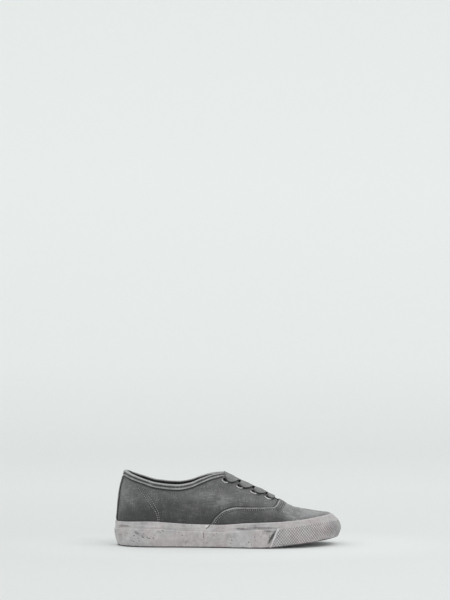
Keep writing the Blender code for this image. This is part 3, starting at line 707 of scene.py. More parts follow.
def inside_eyelets():
    """Cylinders that cut the eyelets' holes, as one mesh."""
    points, faces, sides = [], [], 24
    spin = np.linspace(0, 2 * np.pi, sides + 1)[:-1]
    for side in (LATERAL, MEDIAL):
        for x in EYELETS_AT:
            spot, normal, across, along = eyelet_frame(side, x)
            ring = across * np.cos(spin)[:, None] + along * np.sin(spin)[:, None]
            start = len(points)
            for reach in (-0.004, 0.004):
                points += list(spot + ring * (EYELET_HOLE + 0.0009) + normal * reach)
            low = list(range(start, start + sides))
            high = [k + sides for k in low]
            faces += [(low[k], low[(k + 1) % sides], high[(k + 1) % sides], high[k]) for k in range(sides)]
            faces += [tuple(low[::-1]), tuple(high)]
    return made_mesh("hole_cutter", np.array(points), faces, {}, [])


def eyelet_frame(side, x):
    """(point on the upper, outward normal, direction to the ridge, direction along the shoe)."""
    turn = np.array([side * turn_of(x)])
    angle = throat_angle(turn, throat_edge_aside(np.array([x])) + EYELET_FROM_EDGE)
    spot, normal = surface(turn, angle)[0], surface_normal(turn, angle)[0]
    along = surface(turn + side * 0.01, angle)[0] - surface(turn - side * 0.01, angle)[0]
    along -= normal * (along @ normal)
    along /= np.linalg.norm(along)
    across = np.cross(along, normal) * side
    return spot, normal, across / np.linalg.norm(across), along


def plain(made):
    """The object with its modifiers applied."""
    graph = bpy.context.evaluated_depsgraph_get()
    mesh = bpy.data.meshes.new_from_object(made.evaluated_get(graph))
    made.modifiers.clear()
    made.data = mesh
    return made


def build_quarter(finishes):
    """The canvas upper: one hollow wall, open at collar and throat, holed for the eyelets."""
    half = half_turns(0.0, 0.0014)
    turn = np.concatenate([-half[::-1], half[1:-1]])
    top = top_angle(turn)
    angle, height, below = ladder(turn, np.zeros(len(turn)), top, 34, (0.0, 0.0012), (0.0012, 0.0))
    column = turn[:, None]
    skirt = np.array([[BED_SHARE, 0.75]])
    low_out, low_in = (wall_point(column, skirt, UPPER_DEPTH + d) for d in (0.0, CANVAS))
    outer = np.concatenate([low_out, cloth_points(column, angle, 0.0)], axis=1)
    inner = np.concatenate([low_in, cloth_points(column, angle, -CANVAS)], axis=1)
    height = np.concatenate([np.zeros((len(turn), 2)), height], axis=1)
    below = np.concatenate([below[:, :1] + 0.01, below[:, :1] + 0.005, below], axis=1)
    seams = distance_to(outer, [surface(*row) for row in rows_of("counter", "facing")])
    strip = surface(np.linspace(-1, 1, 2)[:, None] * HEEL_STAY_TURN, np.linspace(0.0, 1.2, 60))
    around = round_turns(-turn_of(THROAT_TOP), turn_of(THROAT_TOP), FINE)
    low, high = surface(around, edge_strip(around)), surface(around, top_angle(around))
    # Laps beside the vamp, the heel strip and the binding's foot: the canvas there takes painted shade and
    # dirt.
    laps = [surface(*vamp_seam(side)) for side in (LATERAL, MEDIAL)] + list(strip)
    edge = distance_to(outer, laps + [low + (high - low) * (BINDING_FOOT - 0.04)])
    maps = cloth_maps(outer, height, below, seams, edge)
    closed = top > MEETS
    made = loft(
        "quarter", paired(outer, inner), both_faces(maps, ring=True), finishes,
        ring=True, skip=closed & np.roll(closed, -1), inside=True,
    )
    cutter = inside_eyelets()
    hole = made.modifiers.new("eyelet holes", "BOOLEAN")
    hole.operation, hole.solver, hole.object = "DIFFERENCE", "EXACT", cutter
    plain(made)
    bpy.data.objects.remove(cutter)
    return made


def rounded(edge, drop, width):
    """How far a rounded edge falls away, at a distance from it."""
    return drop * (1 - np.sqrt(np.clip(edge / width, 0, 1)))


def tucked(turn, angle, height, thickness, proud=0.0):
    """Outside and back of a layer over the quarter, from its skirt behind the rubber up."""
    column = turn[:, None]
    lift = 0.0003 + (SOFT_GAP + LAYER - 0.0003) * smooth(height, 0.0, 0.0026) + proud
    skirt = np.array([[0.90, 0.97]])
    outer = [wall_point(column, skirt, UPPER_DEPTH - 0.0003), cloth_points(column, angle, lift)]
    inner = [wall_point(column, skirt, UPPER_DEPTH + 0.0004), cloth_points(column, angle, lift - thickness)]
    return np.concatenate(outer, axis=1), np.concatenate(inner, axis=1)


def with_skirt(values):
    """The values of a layer's rows with its two skirt rows before them."""
    return np.concatenate([values[:, :1], values[:, :1], values], axis=1)


def build_vamp(finishes):
    """The toe piece, lapped over the quarter, with a turned edge."""
    tries = np.linspace(turn_of(VAMP_START), turn_of(VAMP_START + 0.01), 400)
    start = tries[np.argmax(seam_angle(-tries) > 0.004)]
    half = half_turns(start, 0.0012, ((VAMP_START, 0.120, 0.0006), (0.187, SEAM_CREST, 0.00025)))
    turn = np.concatenate([-half, half[:-1][::-1]])
    low = np.zeros(len(turn))
    high = np.maximum(seam_angle(turn), 0.003)
    closed = high > MEETS
    near_high = (0.0036, 0.0018, 0.0009, 0.0004, 0.0001, 0.0)
    angle, height, below = ladder(turn, low, high, 32, (0.0, 0.0006), near_high)
    column = turn[:, None]
    true = surface(column, angle)
    edge = distance_to(true, [surface(*vamp_seam(side)) for side in (LATERAL, MEDIAL)])
    edge = np.where(closed[:, None], edge, np.minimum(edge, below))
    seams = distance_to(true, [surface(*row) for row in rows_of("vamp")])
    rounding = rounded(edge, 0.0005, 0.0006)
    hem = 0.00022 * np.exp(-(((edge - 0.0014) / 0.0009) ** 2))
    hem = hem - 0.00018 * np.exp(-((seams / 0.0009) ** 2))
    outer, inner = tucked(turn, angle, height, LAYER, hem - rounding)
    true, height, edge, seams = (with_skirt(v) for v in (true, height, edge, seams))
    paler = 0.030 * smooth(true[..., 0], 0.188, 0.216)
    maps = cloth_maps(outer, height + paler, edge, seams)
    drop = curve(RIDGE, true[..., 0] / LENGTH) - true[..., 2]
    aside = true[..., 1] - ridge_sideways(true[..., 0])
    maps["cloth"] = np.stack([true[..., 0], np.sign(aside) * (np.abs(aside) + 0.8 * drop)], axis=-1)
    return loft("toe_vamp", paired(outer, inner), both_faces(maps), finishes, skip=closed[:-1] & closed[1:])


def build_heel_strip(finishes):
    """The strip sewn up the back of the heel, under the binding."""
    turn = np.linspace(-HEEL_STAY_TURN, HEEL_STAY_TURN, 23)
    strip = surface(turn, edge_strip(turn))[:, 2]
    high = angle_where(turn, lambda p: p[..., 2] > strip - 0.0004)
    angle, height, _ = ladder(turn, np.zeros(len(turn)), high, 40)
    column = turn[:, None]
    width = running(surface(column, angle), 0)
    edge = np.minimum(width, width[-1:] - width)
    rounding = rounded(edge, 0.0005, 0.0007)
    hem = 0.00018 * np.exp(-(((edge - 0.0012) / 0.0006) ** 2))
    outer, inner = tucked(turn, angle, height, LAYER, hem - rounding)
    height, edge = with_skirt(height), with_skirt(edge)
    # Its own edges count as laps, so they take painted shade and dirt.
    maps = cloth_maps(outer, height, edge, np.abs(edge - 0.0022), edge + 0.0004)
    return loft("heel_strip", paired(outer, inner), both_faces(maps), finishes)


BINDING_PAST = 0.0016  # how far it runs past the top of the lace facing
BINDING_FOOT = 0.14  # where its lower edge and its row of stitches lie, as shares of its drop
BINDING_ROW = 0.58
# (height up the binding as a share of its drop, stand off the canvas), outside then back.
BINDING_OUT = (
    (0.16, 0.00035), (0.13, 0.00070), (0.14, 0.00115), (0.19, 0.00145), (0.27, 0.00162), (0.37, 0.00160),
    (0.46, 0.00138), (0.53, 0.00105), (0.58, 0.00092), (0.63, 0.00112), (0.70, 0.00152), (0.79, 0.00182),
    (0.89, 0.00186), (0.98, 0.00160), (1.07, 0.00100), (1.135, 0.00010), (1.15, -0.00090),
)
BINDING_IN = (
    (0.16, -0.00215), (0.13, -0.00260), (0.18, -0.00305), (0.27, -0.00335), (0.37, -0.00330),
    (0.48, -0.00300), (0.58, -0.00272), (0.66, -0.00295), (0.76, -0.00330), (0.87, -0.00345),
    (0.97, -0.00315), (1.07, -0.00265), (1.135, -0.00185),
)


def binding_rails(past):
    """(turns, points below the binding, points on the collar's edge, the normals of each)."""
    front = turn_of(THROAT_TOP + past)
    turn = round_turns(-front, front, FINE)
    foot, top = edge_strip(turn), top_angle(turn)
    low, high = cloth_points(turn, foot, 0.0), cloth_points(turn, top, 0.0)
    return turn, low, high, surface_normal(turn, foot), surface_normal(turn, top)


def build_binding(finishes):
    """Tape folded over the collar's edge, puffed on both sides of its row of stitches, with painted shade
    on its inside and along its fold on the inner side.
    """
    turn, low, high, out_low, out_high = binding_rails(BINDING_PAST)
    slot = ((1.05, -0.0021), (1.06, -0.0009), (1.05, 0.0003))
    profile = np.array(BINDING_OUT + BINDING_IN[::-1] + slot)
    share, stand = profile[:, 0], profile[:, 1]
    uneven = 1 + 0.10 * lumps(low[:, None] + np.arange(len(profile))[None, :, None] * 0.0007, 0.004, 5.2)
    middle = -CANVAS / 2
    stand = middle + (stand - middle)[None, :] * uneven
    blend = np.clip(share, 0, 1)[None, :, None]
    normal = out_low[:, None] * (1 - blend) + out_high[:, None] * blend
    points = low[:, None] + (high - low)[:, None] * share[None, :, None] + normal * stand[..., None]
    along = running(low, 0)[:, None]
    over = running(points[len(turn) // 2], 0)
    row = np.abs(share - BINDING_ROW) * BINDING_DROP
    edge = np.minimum((share - BINDING_FOOT).clip(0, None) + 0.1, np.abs(share - 1.02)) * BINDING_DROP
    outside = np.arange(len(profile)) < len(BINDING_OUT)
    # Painted shade: darker on the binding's inside faces, and along the outside of its fold on the inner
    # side, seen across the collar.
    painted_light_level = np.where(outside, 0.05, 0.026 * smooth(share, 1.00, 1.14))
    far_side_shade = smooth(share, 0.98, 1.07) * smooth(turn, 0.05, 0.30)[:, None]
    painted_light_level = painted_light_level[None, :] - 0.018 * outside * far_side_shade
    maps = laid((along, over), (painted_light_level, edge), (row, 1.0))
    made = loft("binding", points, maps, finishes, caps=False, sharp=60)
    return capped(made)


def capped(made):
    """The object with its open ends closed."""
    bm = bmesh.new()
    bm.from_mesh(made.data)
    bmesh.ops.holes_fill(bm, edges=[e for e in bm.edges if e.is_boundary], sides=0)
    bmesh.ops.recalc_face_normals(bm, faces=bm.faces)
    bm.to_mesh(made.data)
    bm.free()
    return made


def on_instep(x, aside, lift):
    """Points over the instep at x, a signed distance aside from the ridge, lifted off the upper."""
    x, aside, lift = np.broadcast_arrays(*(np.asarray(v, float) for v in (x, aside, lift)))
    turn = np.where(aside < 0, -1, 1) * turn_of(x)
    angle = throat_angle(turn, np.abs(aside))
    return surface(turn, angle) + surface_normal(turn, angle) * lift[..., None]


TONGUE_STAND = 0.0034  # how far the free end stands up between the facings
TONGUE_LEVEL = 0.0839  # and the height that it keeps below
TONGUE_ROW = 0.0045  # its row of stitches, from the edge
TONGUE_DEPTHS = ((0.0, TONGUE_TOP_DEPTH), (0.3, TONGUE_DEPTH), (0.75, TONGUE_DEPTH), (1.0, 0.0028))


def tongue_half(share):
    """Half the tongue's width, at a share of its length from the free end."""
    return 0.0255 - 0.0075 * share - 0.005 * (1 - share) ** 8


def tongue_grid(share, across):
    """(x, aside, depth of the outside) of the tongue, from its free end and from side to side."""
    x = TONGUE_TOP + (TONGUE_FOOT - TONGUE_TOP) * share
    aside = tongue_half(share) * across
    swell = TONGUE_SWELL * np.minimum(np.minimum(4 * share, 1.0), 5 * (1 - share))
    swell = swell + TONGUE_STAND * (1 - smooth(x, 0.127, 0.136))
    rise = swell * np.clip(1 - (aside / 0.0095) ** 2, 0, None)
    level = (curve(RIDGE, x / LENGTH) - TONGUE_LEVEL) / 0.89
    return x, aside, np.maximum(curve(TONGUE_DEPTHS, share) - rise, level)


def build_tongue(finishes):
    """The tongue under the facings, its free end standing up a little."""
    share = np.concatenate([[0, 0.003, 0.008, 0.016], np.linspace(0.03, 1, 70)])[:, None]
    across = np.concatenate([[-1, -0.985, -0.95], np.linspace(-0.9, 0.9, 37), [0.95, 0.985, 1]])[None, :]
    x, aside, depth = tongue_grid(share, across)
    half = np.abs(aside).max(axis=1, keepdims=True)
    edge = np.minimum(half - np.abs(aside), (TONGUE_FOOT - TONGUE_TOP) * share)
    rounding = rounded(edge, 0.00085, 0.0011)
    outer = on_instep(x, aside, -depth - rounding)
    inner = on_instep(x, aside, -depth - TONGUE + rounding)
    maps = laid((x, running(outer, 1)), (0.04, edge), (np.abs(edge - TONGUE_ROW), 1.0))
    return loft("tongue_cloth", paired(outer, inner), both_faces(maps), finishes)


# ---- Laces ----
ACROSS = np.array([-1, -0.97, -0.88, -0.7, -0.45, -0.2, 0, 0.2, 0.45, 0.62, 0.72, 0.82, 0.90, 0.97, 1])
LACE_EDGE = 0.32 + 0.68 * np.sqrt(1 - np.abs(ACROSS) ** 4)
LACE_HALF = LACE_THICKNESS / 2
LACE_ENTRY = 0.0080  # where it starts to narrow for the eyelet
# How a lace lies over the throat: (distance from the ridge towards its own eyelet, how far it has gone
# ahead of that eyelet, half width along the shoe).
LACE_LIE = {
    LATERAL: (
        (-0.0210, 0.0160, 0.0048), (-0.0095, 0.0146, 0.0058), (0.0000, 0.0113, 0.0075),
        (0.0070, 0.0096, 0.0074), (0.0116, 0.0076, 0.0066),
    ),
    MEDIAL: (
        (-0.0210, 0.0156, 0.0048), (-0.0095, 0.0122, 0.0054), (0.0000, 0.0080, 0.0064),
        (0.0070, 0.0056, 0.0060), (0.0116, 0.0042, 0.0054),
    ),
}
# The way into an eyelet: (distance of the heel edge from its centre towards the ridge, height of that
# edge, turn of its thickness towards the ridge in degrees, how much of its spread to heel and to toe is
# left, distance and height of the toe edge, how far both edges curl up).
INTO_EYELET = (
    (0.0080, 0.00120, 0, 1.00, 1.000, 0.0080, 0.00120, 0.0001),
    (0.0070, 0.00135, 1, 0.95, 0.960, 0.0070, 0.00125, 0.0002),
    (0.0060, 0.00155, 2, 0.88, 0.920, 0.0057, 0.00130, 0.0003),
    (0.0051, 0.00175, 3, 0.78, 0.880, 0.0044, 0.00130, 0.0004),
    (0.0043, 0.00190, 5, 0.67, 0.815, 0.0031, 0.00130, 0.0004),
    (0.0036, 0.00195, 9, 0.55, 0.710, 0.0017, 0.00130, 0.0004),
    (0.0030, 0.00185, 18, 0.42, 0.580, 0.0004, 0.00130, 0.0004),
    (0.0025, 0.00155, 34, 0.30, 0.445, -0.0009, 0.00140, 0.0003),
    (0.0021, 0.00105, 52, 0.19, 0.300, -0.0016, 0.00160, 0.0003),
    (0.0018, 0.00045, 70, 0.10, 0.160, -0.0012, 0.00165, 0.0002),
    (0.0016, -0.00025, 84, 0.04, 0.030, 0.0003, 0.00050, 0.0001),
    (0.0015, -0.00110, 90, 0.0, 0.0, 0.0010, -0.00080, 0.0001),
    (0.0014, -0.00210, 90, 0.0, 0.0, 0.0012, -0.00200, 0.0001),
    (0.0014, -0.00300, 90, 0.0, 0.0, 0.0013, -0.00300, 0.0001),
)
IN_EYELET = (-0.0004, 0.0017)  # where its two edges lie in the hole, along the shoe


def entry_sections(side, x, start):
    """Sections of a lace going down into an eyelet, joining start, the section it comes from."""
    spot, normal, across, along = eyelet_frame(side, x)
    edges = [float((start[k] - spot) @ along) for k in (0, len(ACROSS) - 1)]
    to_toe = (0.5 + 0.5 * ACROSS)[:, None]
    made = []
    for r, n, degrees, heel_left, toe_left, toe_r, toe_n, curl in INTO_EYELET:
        heel = IN_EYELET[0] + (edges[0] - IN_EYELET[0]) * heel_left
        toe = IN_EYELET[1] + (edges[1] - IN_EYELET[1]) * toe_left
        lean = np.radians(degrees) * (1 - 0.75 * to_toe * float(smooth(toe_n, 0.0004, 0.0014)))
        thick = normal * np.cos(lean) + across * np.sin(lean)
        middle = spot + along * (heel + (toe - heel) * to_toe) + across * (r + (toe_r - r) * to_toe**1.3)
        middle = middle + normal * (n + (toe_n - n) * to_toe) + thick * curl * (ACROSS**2)[:, None]
        puff = thick * (LACE_HALF * 0.94 * LACE_EDGE)[:, None]
        own = np.concatenate([middle + puff, (middle - puff)[::-1]])
        join = float(smooth(r, 0.0048, LACE_ENTRY))
        if join > 0:
            # Carried along from the section before, so that the lace keeps the instep's curve.
            carried = start + (across * (r - LACE_ENTRY))[None]
            own = own * (1 - join) + carried * join
        made.append(own)
    return made


def band_sections(steps, path):
    """Sections over the instep: path(t) gives x, aside, height of the underside and half width."""
    made = []
    for t in steps:
        x, aside, low, half_width, tilt = path(float(t))
        spread = x + ACROSS * half_width
        low = low + tilt * ((0.5 + 0.5 * ACROSS) ** 1.5 if tilt > 0 else 0.5 + 0.5 * ACROSS)
        middle = on_instep(spread, aside, low + LACE_HALF)
        normal = on_instep(spread, aside, low + LACE_HALF + 0.001) - middle
        puff = normal / 0.001 * (LACE_HALF * LACE_EDGE)[:, None]
        made.append(np.concatenate([middle + puff, (middle - puff)[::-1]]))
    return made


def cross_run(number, side, crown):
    """A lace from under one facing, over the throat and down into the eyelet of the other side."""
    x, ahead = EYELETS_AT[number - 1], EYELETS_AT[number]
    edge, edge_ahead = float(throat_edge_aside(x)), float(throat_edge_aside(ahead))
    begin, leave = edge + EYELET_FROM_EDGE - LACE_ENTRY, -(edge_ahead - 0.0016)
    lie = np.array(LACE_LIE[side])
    lifts = (
        (0.0, SOFT_GAP), (0.15, 0.0005), (0.52, crown), (1.0, -0.0030), (1.15, -0.0034), (1.6, -0.0034),
    )
    tilts = ((0.0, 0.0006), (0.15, 0.0008), (0.50, 0.0), (1.0, 0.0))
    slack = 0.08 * (number - 1) if side == LATERAL else 0.35 * (number == 1)

    def path(t):
        aside = begin + (leave - begin) * t
        along = float(curve(lie[:, :2], aside)) * (1 - slack * math.exp(-((aside / 0.011) ** 2)))
        half = float(curve(lie[:, ::2], aside))
        wander = 0.00035 * math.sin(7 * t + number * 2.1 + side) * math.sin(math.pi * min(t, 1.0))
        return x + along + wander, side * aside, float(curve(lifts, t)), half, float(curve(tilts, t))

    over = band_sections(np.linspace(0.0, 1.36, 50), path)
    return entry_sections(side, x, over[0])[1:][::-1] + over


def bar_run():
    """The straight lace over the lowest eyelets, with both ends going down into them."""
    x = EYELETS_AT[-1] + LACE_BAR_AHEAD
    begin = float(throat_edge_aside(x)) + EYELET_FROM_EDGE - LACE_ENTRY
    lifts = ((0.0, SOFT_GAP), (0.5, -0.0009), (1.0, SOFT_GAP))
    tilts = ((0.0, 0.0006), (0.12, 0.0008), (0.5, -0.0003), (0.88, 0.0008), (1.0, 0.0006))

    def path(t):
        half = LACE_WIDTH / 2 * (1.0 + 0.06 * math.sin(math.pi * t))
        return x, -begin + 2 * begin * t, float(curve(lifts, t)), half, float(curve(tilts, t))

    over = band_sections(np.linspace(0.0, 1.0, 40), path)
    ends = [entry_sections(side, EYELETS_AT[-1], over[k])[1:] for side, k in ((LATERAL, 0), (MEDIAL, -1))]
    return ends[0][::-1] + over + ends[1]


def lace_piece(name, sections, finishes):
    """One run of lace, with painted shade: darker along its toe edge on the outer side, and dark on its
    underside.
    """
    sections = np.array(sections)
    along = running(sections[:, len(ACROSS) // 2], 0)
    wide = np.concatenate([ACROSS, ACROSS[::-1]]) * LACE_WIDTH / 2
    edge = LACE_WIDTH / 2 - np.abs(wide)
    half = len(ACROSS)
    # Painted shade: a dark strip along the toe edge on the outer side, for the shadow under the lace's
    # raised edge, and a dark underside.
    wide_side = smooth(-sections[:, :half, 1], 0.003, 0.012)
    near = 1 - smooth(sections[:, :half, 1], 0.000, 0.006)
    start = 0.90 - 0.15 * wide_side
    painted_light_level = 0.05 - 0.05 * near * smooth((ACROSS - start) / 0.09, 0.0, 1.0)
    painted_light_level = np.concatenate([painted_light_level, np.zeros_like(painted_light_level)], axis=1)
    maps = laid((along[:, None], wide), (painted_light_level, edge), (1.0, 1.0))
    return loft(name, sections, maps, finishes, sharp=70)


def joined(name, pieces):
    """One object from several."""
    bm = bmesh.new()
    for piece in pieces:
        bm.from_mesh(piece.data)
    mesh = bpy.data.meshes.new(name)
    bm.to_mesh(mesh)
    bm.free()
    for finish in pieces[0].data.materials:
        mesh.materials.append(finish)
    for piece in pieces:
        bpy.data.objects.remove(piece)
    return linked(name, mesh)


def build_laces(finishes):
    runs = []
    for number in (3, 2, 1):
        for side, crown in ((MEDIAL, -0.0005), (LATERAL, 0.0007)):
            runs.append(cross_run(number, side, crown))
    runs.append(bar_run())
    return joined("laces", [lace_piece(f"run_{k}", run, finishes) for k, run in enumerate(runs)])


# ---- Rubber pieces ----
FOXING_JOINT = ((0.1088, 0.0229), (0.1136, 0.0272))  # slanted end of the inner band, (x, z)
TAPE_JOINT = 0.1052  # upright end of the outer band, x
TREAD_STEP = 0.00058  # spacing of the tread's points along the shoe
KNURL = 0.0032  # pitch of the bumper's texture
KNURL_RISE = 0.00048
KNURL_BORDER = 0.0019


def rubber_shares(foot, top, rows, height):
    """Shares of the sidewall's height from foot to top, close together at both edges."""
    fine = 0.0007 / height
    low = foot + fine * np.array([0.0, 0.25, 0.6, 1.0])
    high = top - fine * np.array([1.0, 0.6, 0.3, 0.1, 0.0])
    return np.concatenate([low, np.linspace(low[-1], high[0], rows + 2)[1:-1], high])


def band_shares(height, drop, rows, usual):
    """Shares of an outer band, from the sole's foot to a drop below the sidewall's rim."""
    top = 1 - drop / height
    return SOLE_FOOT + (top[:, None] - SOLE_FOOT) * rubber_shares(0.0, 1.0, rows, usual)[None, :]


def rubber_maps(points, below):
    """The maps that rubber's finish reads: cloth lies along the band, place holds height and edge."""
    count = points.shape[1] // 2
    u = np.broadcast_to(running(points[:, count // 2], 0)[:, None], points.shape[:2])
    z = points[..., 2] - floor_rise(points[..., 0])
    return {
        "cloth": np.stack([u, z], axis=-1),
        "place": np.stack([z, below], axis=-1),
    }


def rubber_band(name, turn_rows, shares, depth, thickness, finishes, proud, ring=False, pressed=None):
    """A band on the sidewall. turn_rows: (columns, rows) turns; proud(x, z, side): its relief.

    pressed holds a pattern's height and where its field lies, each 0 to 1, for the rubber's finish.
    """
    height, _ = wall_height(turn_rows)
    true = wall_point(turn_rows, shares, depth)
    below = (shares[:, -1:] - shares) * height
    above = (shares - shares[:, :1]) * height
    rounding = rounded(np.minimum(below, above), 0.00045, 0.0007)
    side = np.sign(turn_rows)
    lift = proud(true[..., 0], true[..., 2], side) - rounding
    outer = wall_point(turn_rows, shares, depth - lift)
    inner = wall_point(turn_rows, shares, depth + thickness)
    points = paired(outer, inner)
    whole = np.concatenate([below, below[:, ::-1]], axis=1)
    maps = rubber_maps(points, whole)
    if pressed is not None:
        maps["pressed"] = np.concatenate([pressed, pressed[:, ::-1]], axis=1)
    if ring:
        for layer, laid in maps.items():
            last = laid[:1] + (laid[-1:] - laid[:1]) * np.array([1, 0])
            maps[layer] = np.concatenate([laid, last], axis=0)
    return loft(name, points, maps, finishes, ring=ring, sharp=50)


def rubber_swell(x, z, side):
    """Slight unevenness of hand-laid, worn rubber."""
    spots = np.stack([x, side * 0.05, z], axis=-1)
    return 0.00013 * lumps(spots, 0.016, 2.2) + 0.00005 * lumps(spots, 0.004, 6.1)


def build_sidewall(finishes):
    """The inner band, with its slanted joint on the outer side."""
    half = half_turns(0.0, 0.0011, ((0.104, 0.118, 0.00035),))
    turn = np.concatenate([-half[::-1], half[1:-1]])[:, None]
    shares = rubber_shares(SOLE_FOOT, 1.0, 26, 0.0285)[None, :]
    turn, shares = np.broadcast_arrays(turn, shares)

    def proud(x, z, side):
        distance, past = from_line(x, z, *FOXING_JOINT)
        here = (side < 0) * np.exp(-((past / 0.0015) ** 2))
        flap = 0.00030 * smooth(distance, 0.0001, 0.0005) * np.exp(-np.clip(distance, 0, None) / 0.006)
        cut = -0.00030 * np.exp(-((distance / 0.00035) ** 2))
        return rubber_swell(x, z, side) + here * (flap + cut)

    return rubber_band("sidewall", turn, shares, FOXING_DEPTH, FOXING, finishes, proud, ring=True)


def slanted_rows(turn, shares):
    """The outer band's turns: upright round the heel, slanted at its two ends along the bumper."""
    first, last = turn[0], turn[-1]
    slanted = turn_of(BUMPER_BACK - TAPE_SPACE + BUMPER_LEAN * shares)
    share, near_end = (turn - first) / (last - first), len(turn) / 14
    ease_first = (-slanted - first) * np.exp(-((share * near_end) ** 2))[:, None]
    ease_last = (slanted - last) * np.exp(-(((1 - share) * near_end) ** 2))[:, None]
    return turn[:, None] + ease_first + ease_last


def build_tape(finishes):
    """The outer band, round the heel between the bumper's two ends."""
    end = turn_of(0.187)
    half = half_turns(0.0, 0.0011, ((0.101, 0.109, 0.00035), (0.176, 0.2, 0.0006)))
    half = np.concatenate([half[half < end - 0.002], [end]])
    turn = np.concatenate([-half[::-1], half[1:]])
    height, _ = wall_height(turn)
    shares = band_shares(height, TAPE_DROP, 22, 0.0200)
    turns = slanted_rows(turn, shares)

    def proud(x, z, side):
        gap = x - TAPE_JOINT - 0.0006 * np.sin(z * 420)
        here = (side < 0) * smooth(z, 0.002, 0.004)
        cut = -0.00034 * np.exp(-((gap / 0.00035) ** 2))
        step = 0.00016 * smooth(-gap, 0.0, 0.0006) * np.exp(np.clip(gap, None, 0) / 0.010)
        return rubber_swell(x, z, side) + here * (cut + step) - 0.0001

    return rubber_band("outer_tape", turns, shares, 0.0, TAPE, finishes, proud)


def knurl(u, v):
    """Height of the bumper's pressed diamonds, from 0 to 1."""
    ridges = []
    for a, b in ((1.0, 0.85), (1.0, -0.85)):
        t = (u * a + v * b) / KNURL
        ridges.append(np.abs(2 * (t - np.floor(t)) - 1))
    return np.clip(1.25 * ridges[0] * ridges[1] + 0.15 * (ridges[0] + ridges[1]) - 0.1, 0, 1)


def slanted_rows_toe(turn, shares):
    """The bumper's turns: upright round the toe, slanted at its two back ends."""
    first = np.abs(turn[0])
    slanted = turn_of(BUMPER_BACK + BUMPER_LEAN * shares)
    size = np.abs(turn)[:, None]
    ease = (slanted - first) * np.exp(-(((size - first) / 0.10) ** 2))
    return np.sign(turn)[:, None] * np.minimum(size + ease, 3.0)


def build_bumper(finishes):
    """The toe bumper: a smooth rim round a pressed field of small diamonds."""
    start = turn_of(0.187)
    half = half_turns(start, 0.00042)
    turn = np.concatenate([-half, half[:-1][::-1]])
    height, x = wall_height(wrapped(turn))
    shares = band_shares(height, curve(BUMPER_DROP, x / LENGTH), 46, 0.0230)
    turns = slanted_rows_toe(turn, shares)
    true = wall_point(turns, shares, 0.0)
    middle = running(true[:, true.shape[1] // 2], 0)
    u = np.broadcast_to(middle[:, None], shares.shape)
    z = true[..., 2] - floor_rise(true[..., 0])
    back = np.minimum(u, u[-1:] - u)
    below = (shares[:, -1:] - shares) * height[:, None]
    above = (shares - shares[:, :1]) * height[:, None]
    edge = np.minimum(np.minimum(below, above + 0.0006), back)
    field = smooth(edge, KNURL_BORDER - 0.0004, KNURL_BORDER + 0.0005)
    worn = 1 - 0.45 * smooth(true[..., 0], 0.250, 0.264)
    line = np.linspace(turns.min(), turns.max(), 1500)
    reach = running(wall_point(line, np.full_like(line, 0.5), 0.0), 0)
    pattern = knurl(np.interp(turns, line, reach), z)
    pressed = field * (pattern * worn * KNURL_RISE - 0.00036)

    def proud(x, z, side):
        return rubber_swell(x, z, side) * 0.5 + pressed - 0.00002

    # The pattern's grooves and border take dirt and painted shade in the rubber's finish.
    border = (1 - field) * smooth(back, 0.0020, 0.0034)
    spots = np.stack([pattern * worn * field + 0.45 * border, np.maximum(field, border)], axis=-1)
    return rubber_band("bumper", turns, shares, 0.0, TAPE, finishes, proud, pressed=spots)


def sole_grid(spacing, across, share, depth):
    """(columns, rows, 3) points over the sole, between its two edges at a share of the wall."""
    half = half_turns(0.0, spacing)
    half[0], half[-1] = 1e-4, 3 - 1e-4
    outer = wall_point(-half, share, depth)
    inner = wall_point(half, share, depth)
    mix = across[None, :, None]
    return outer[:, None] * (1 - mix) + inner[:, None] * mix, half


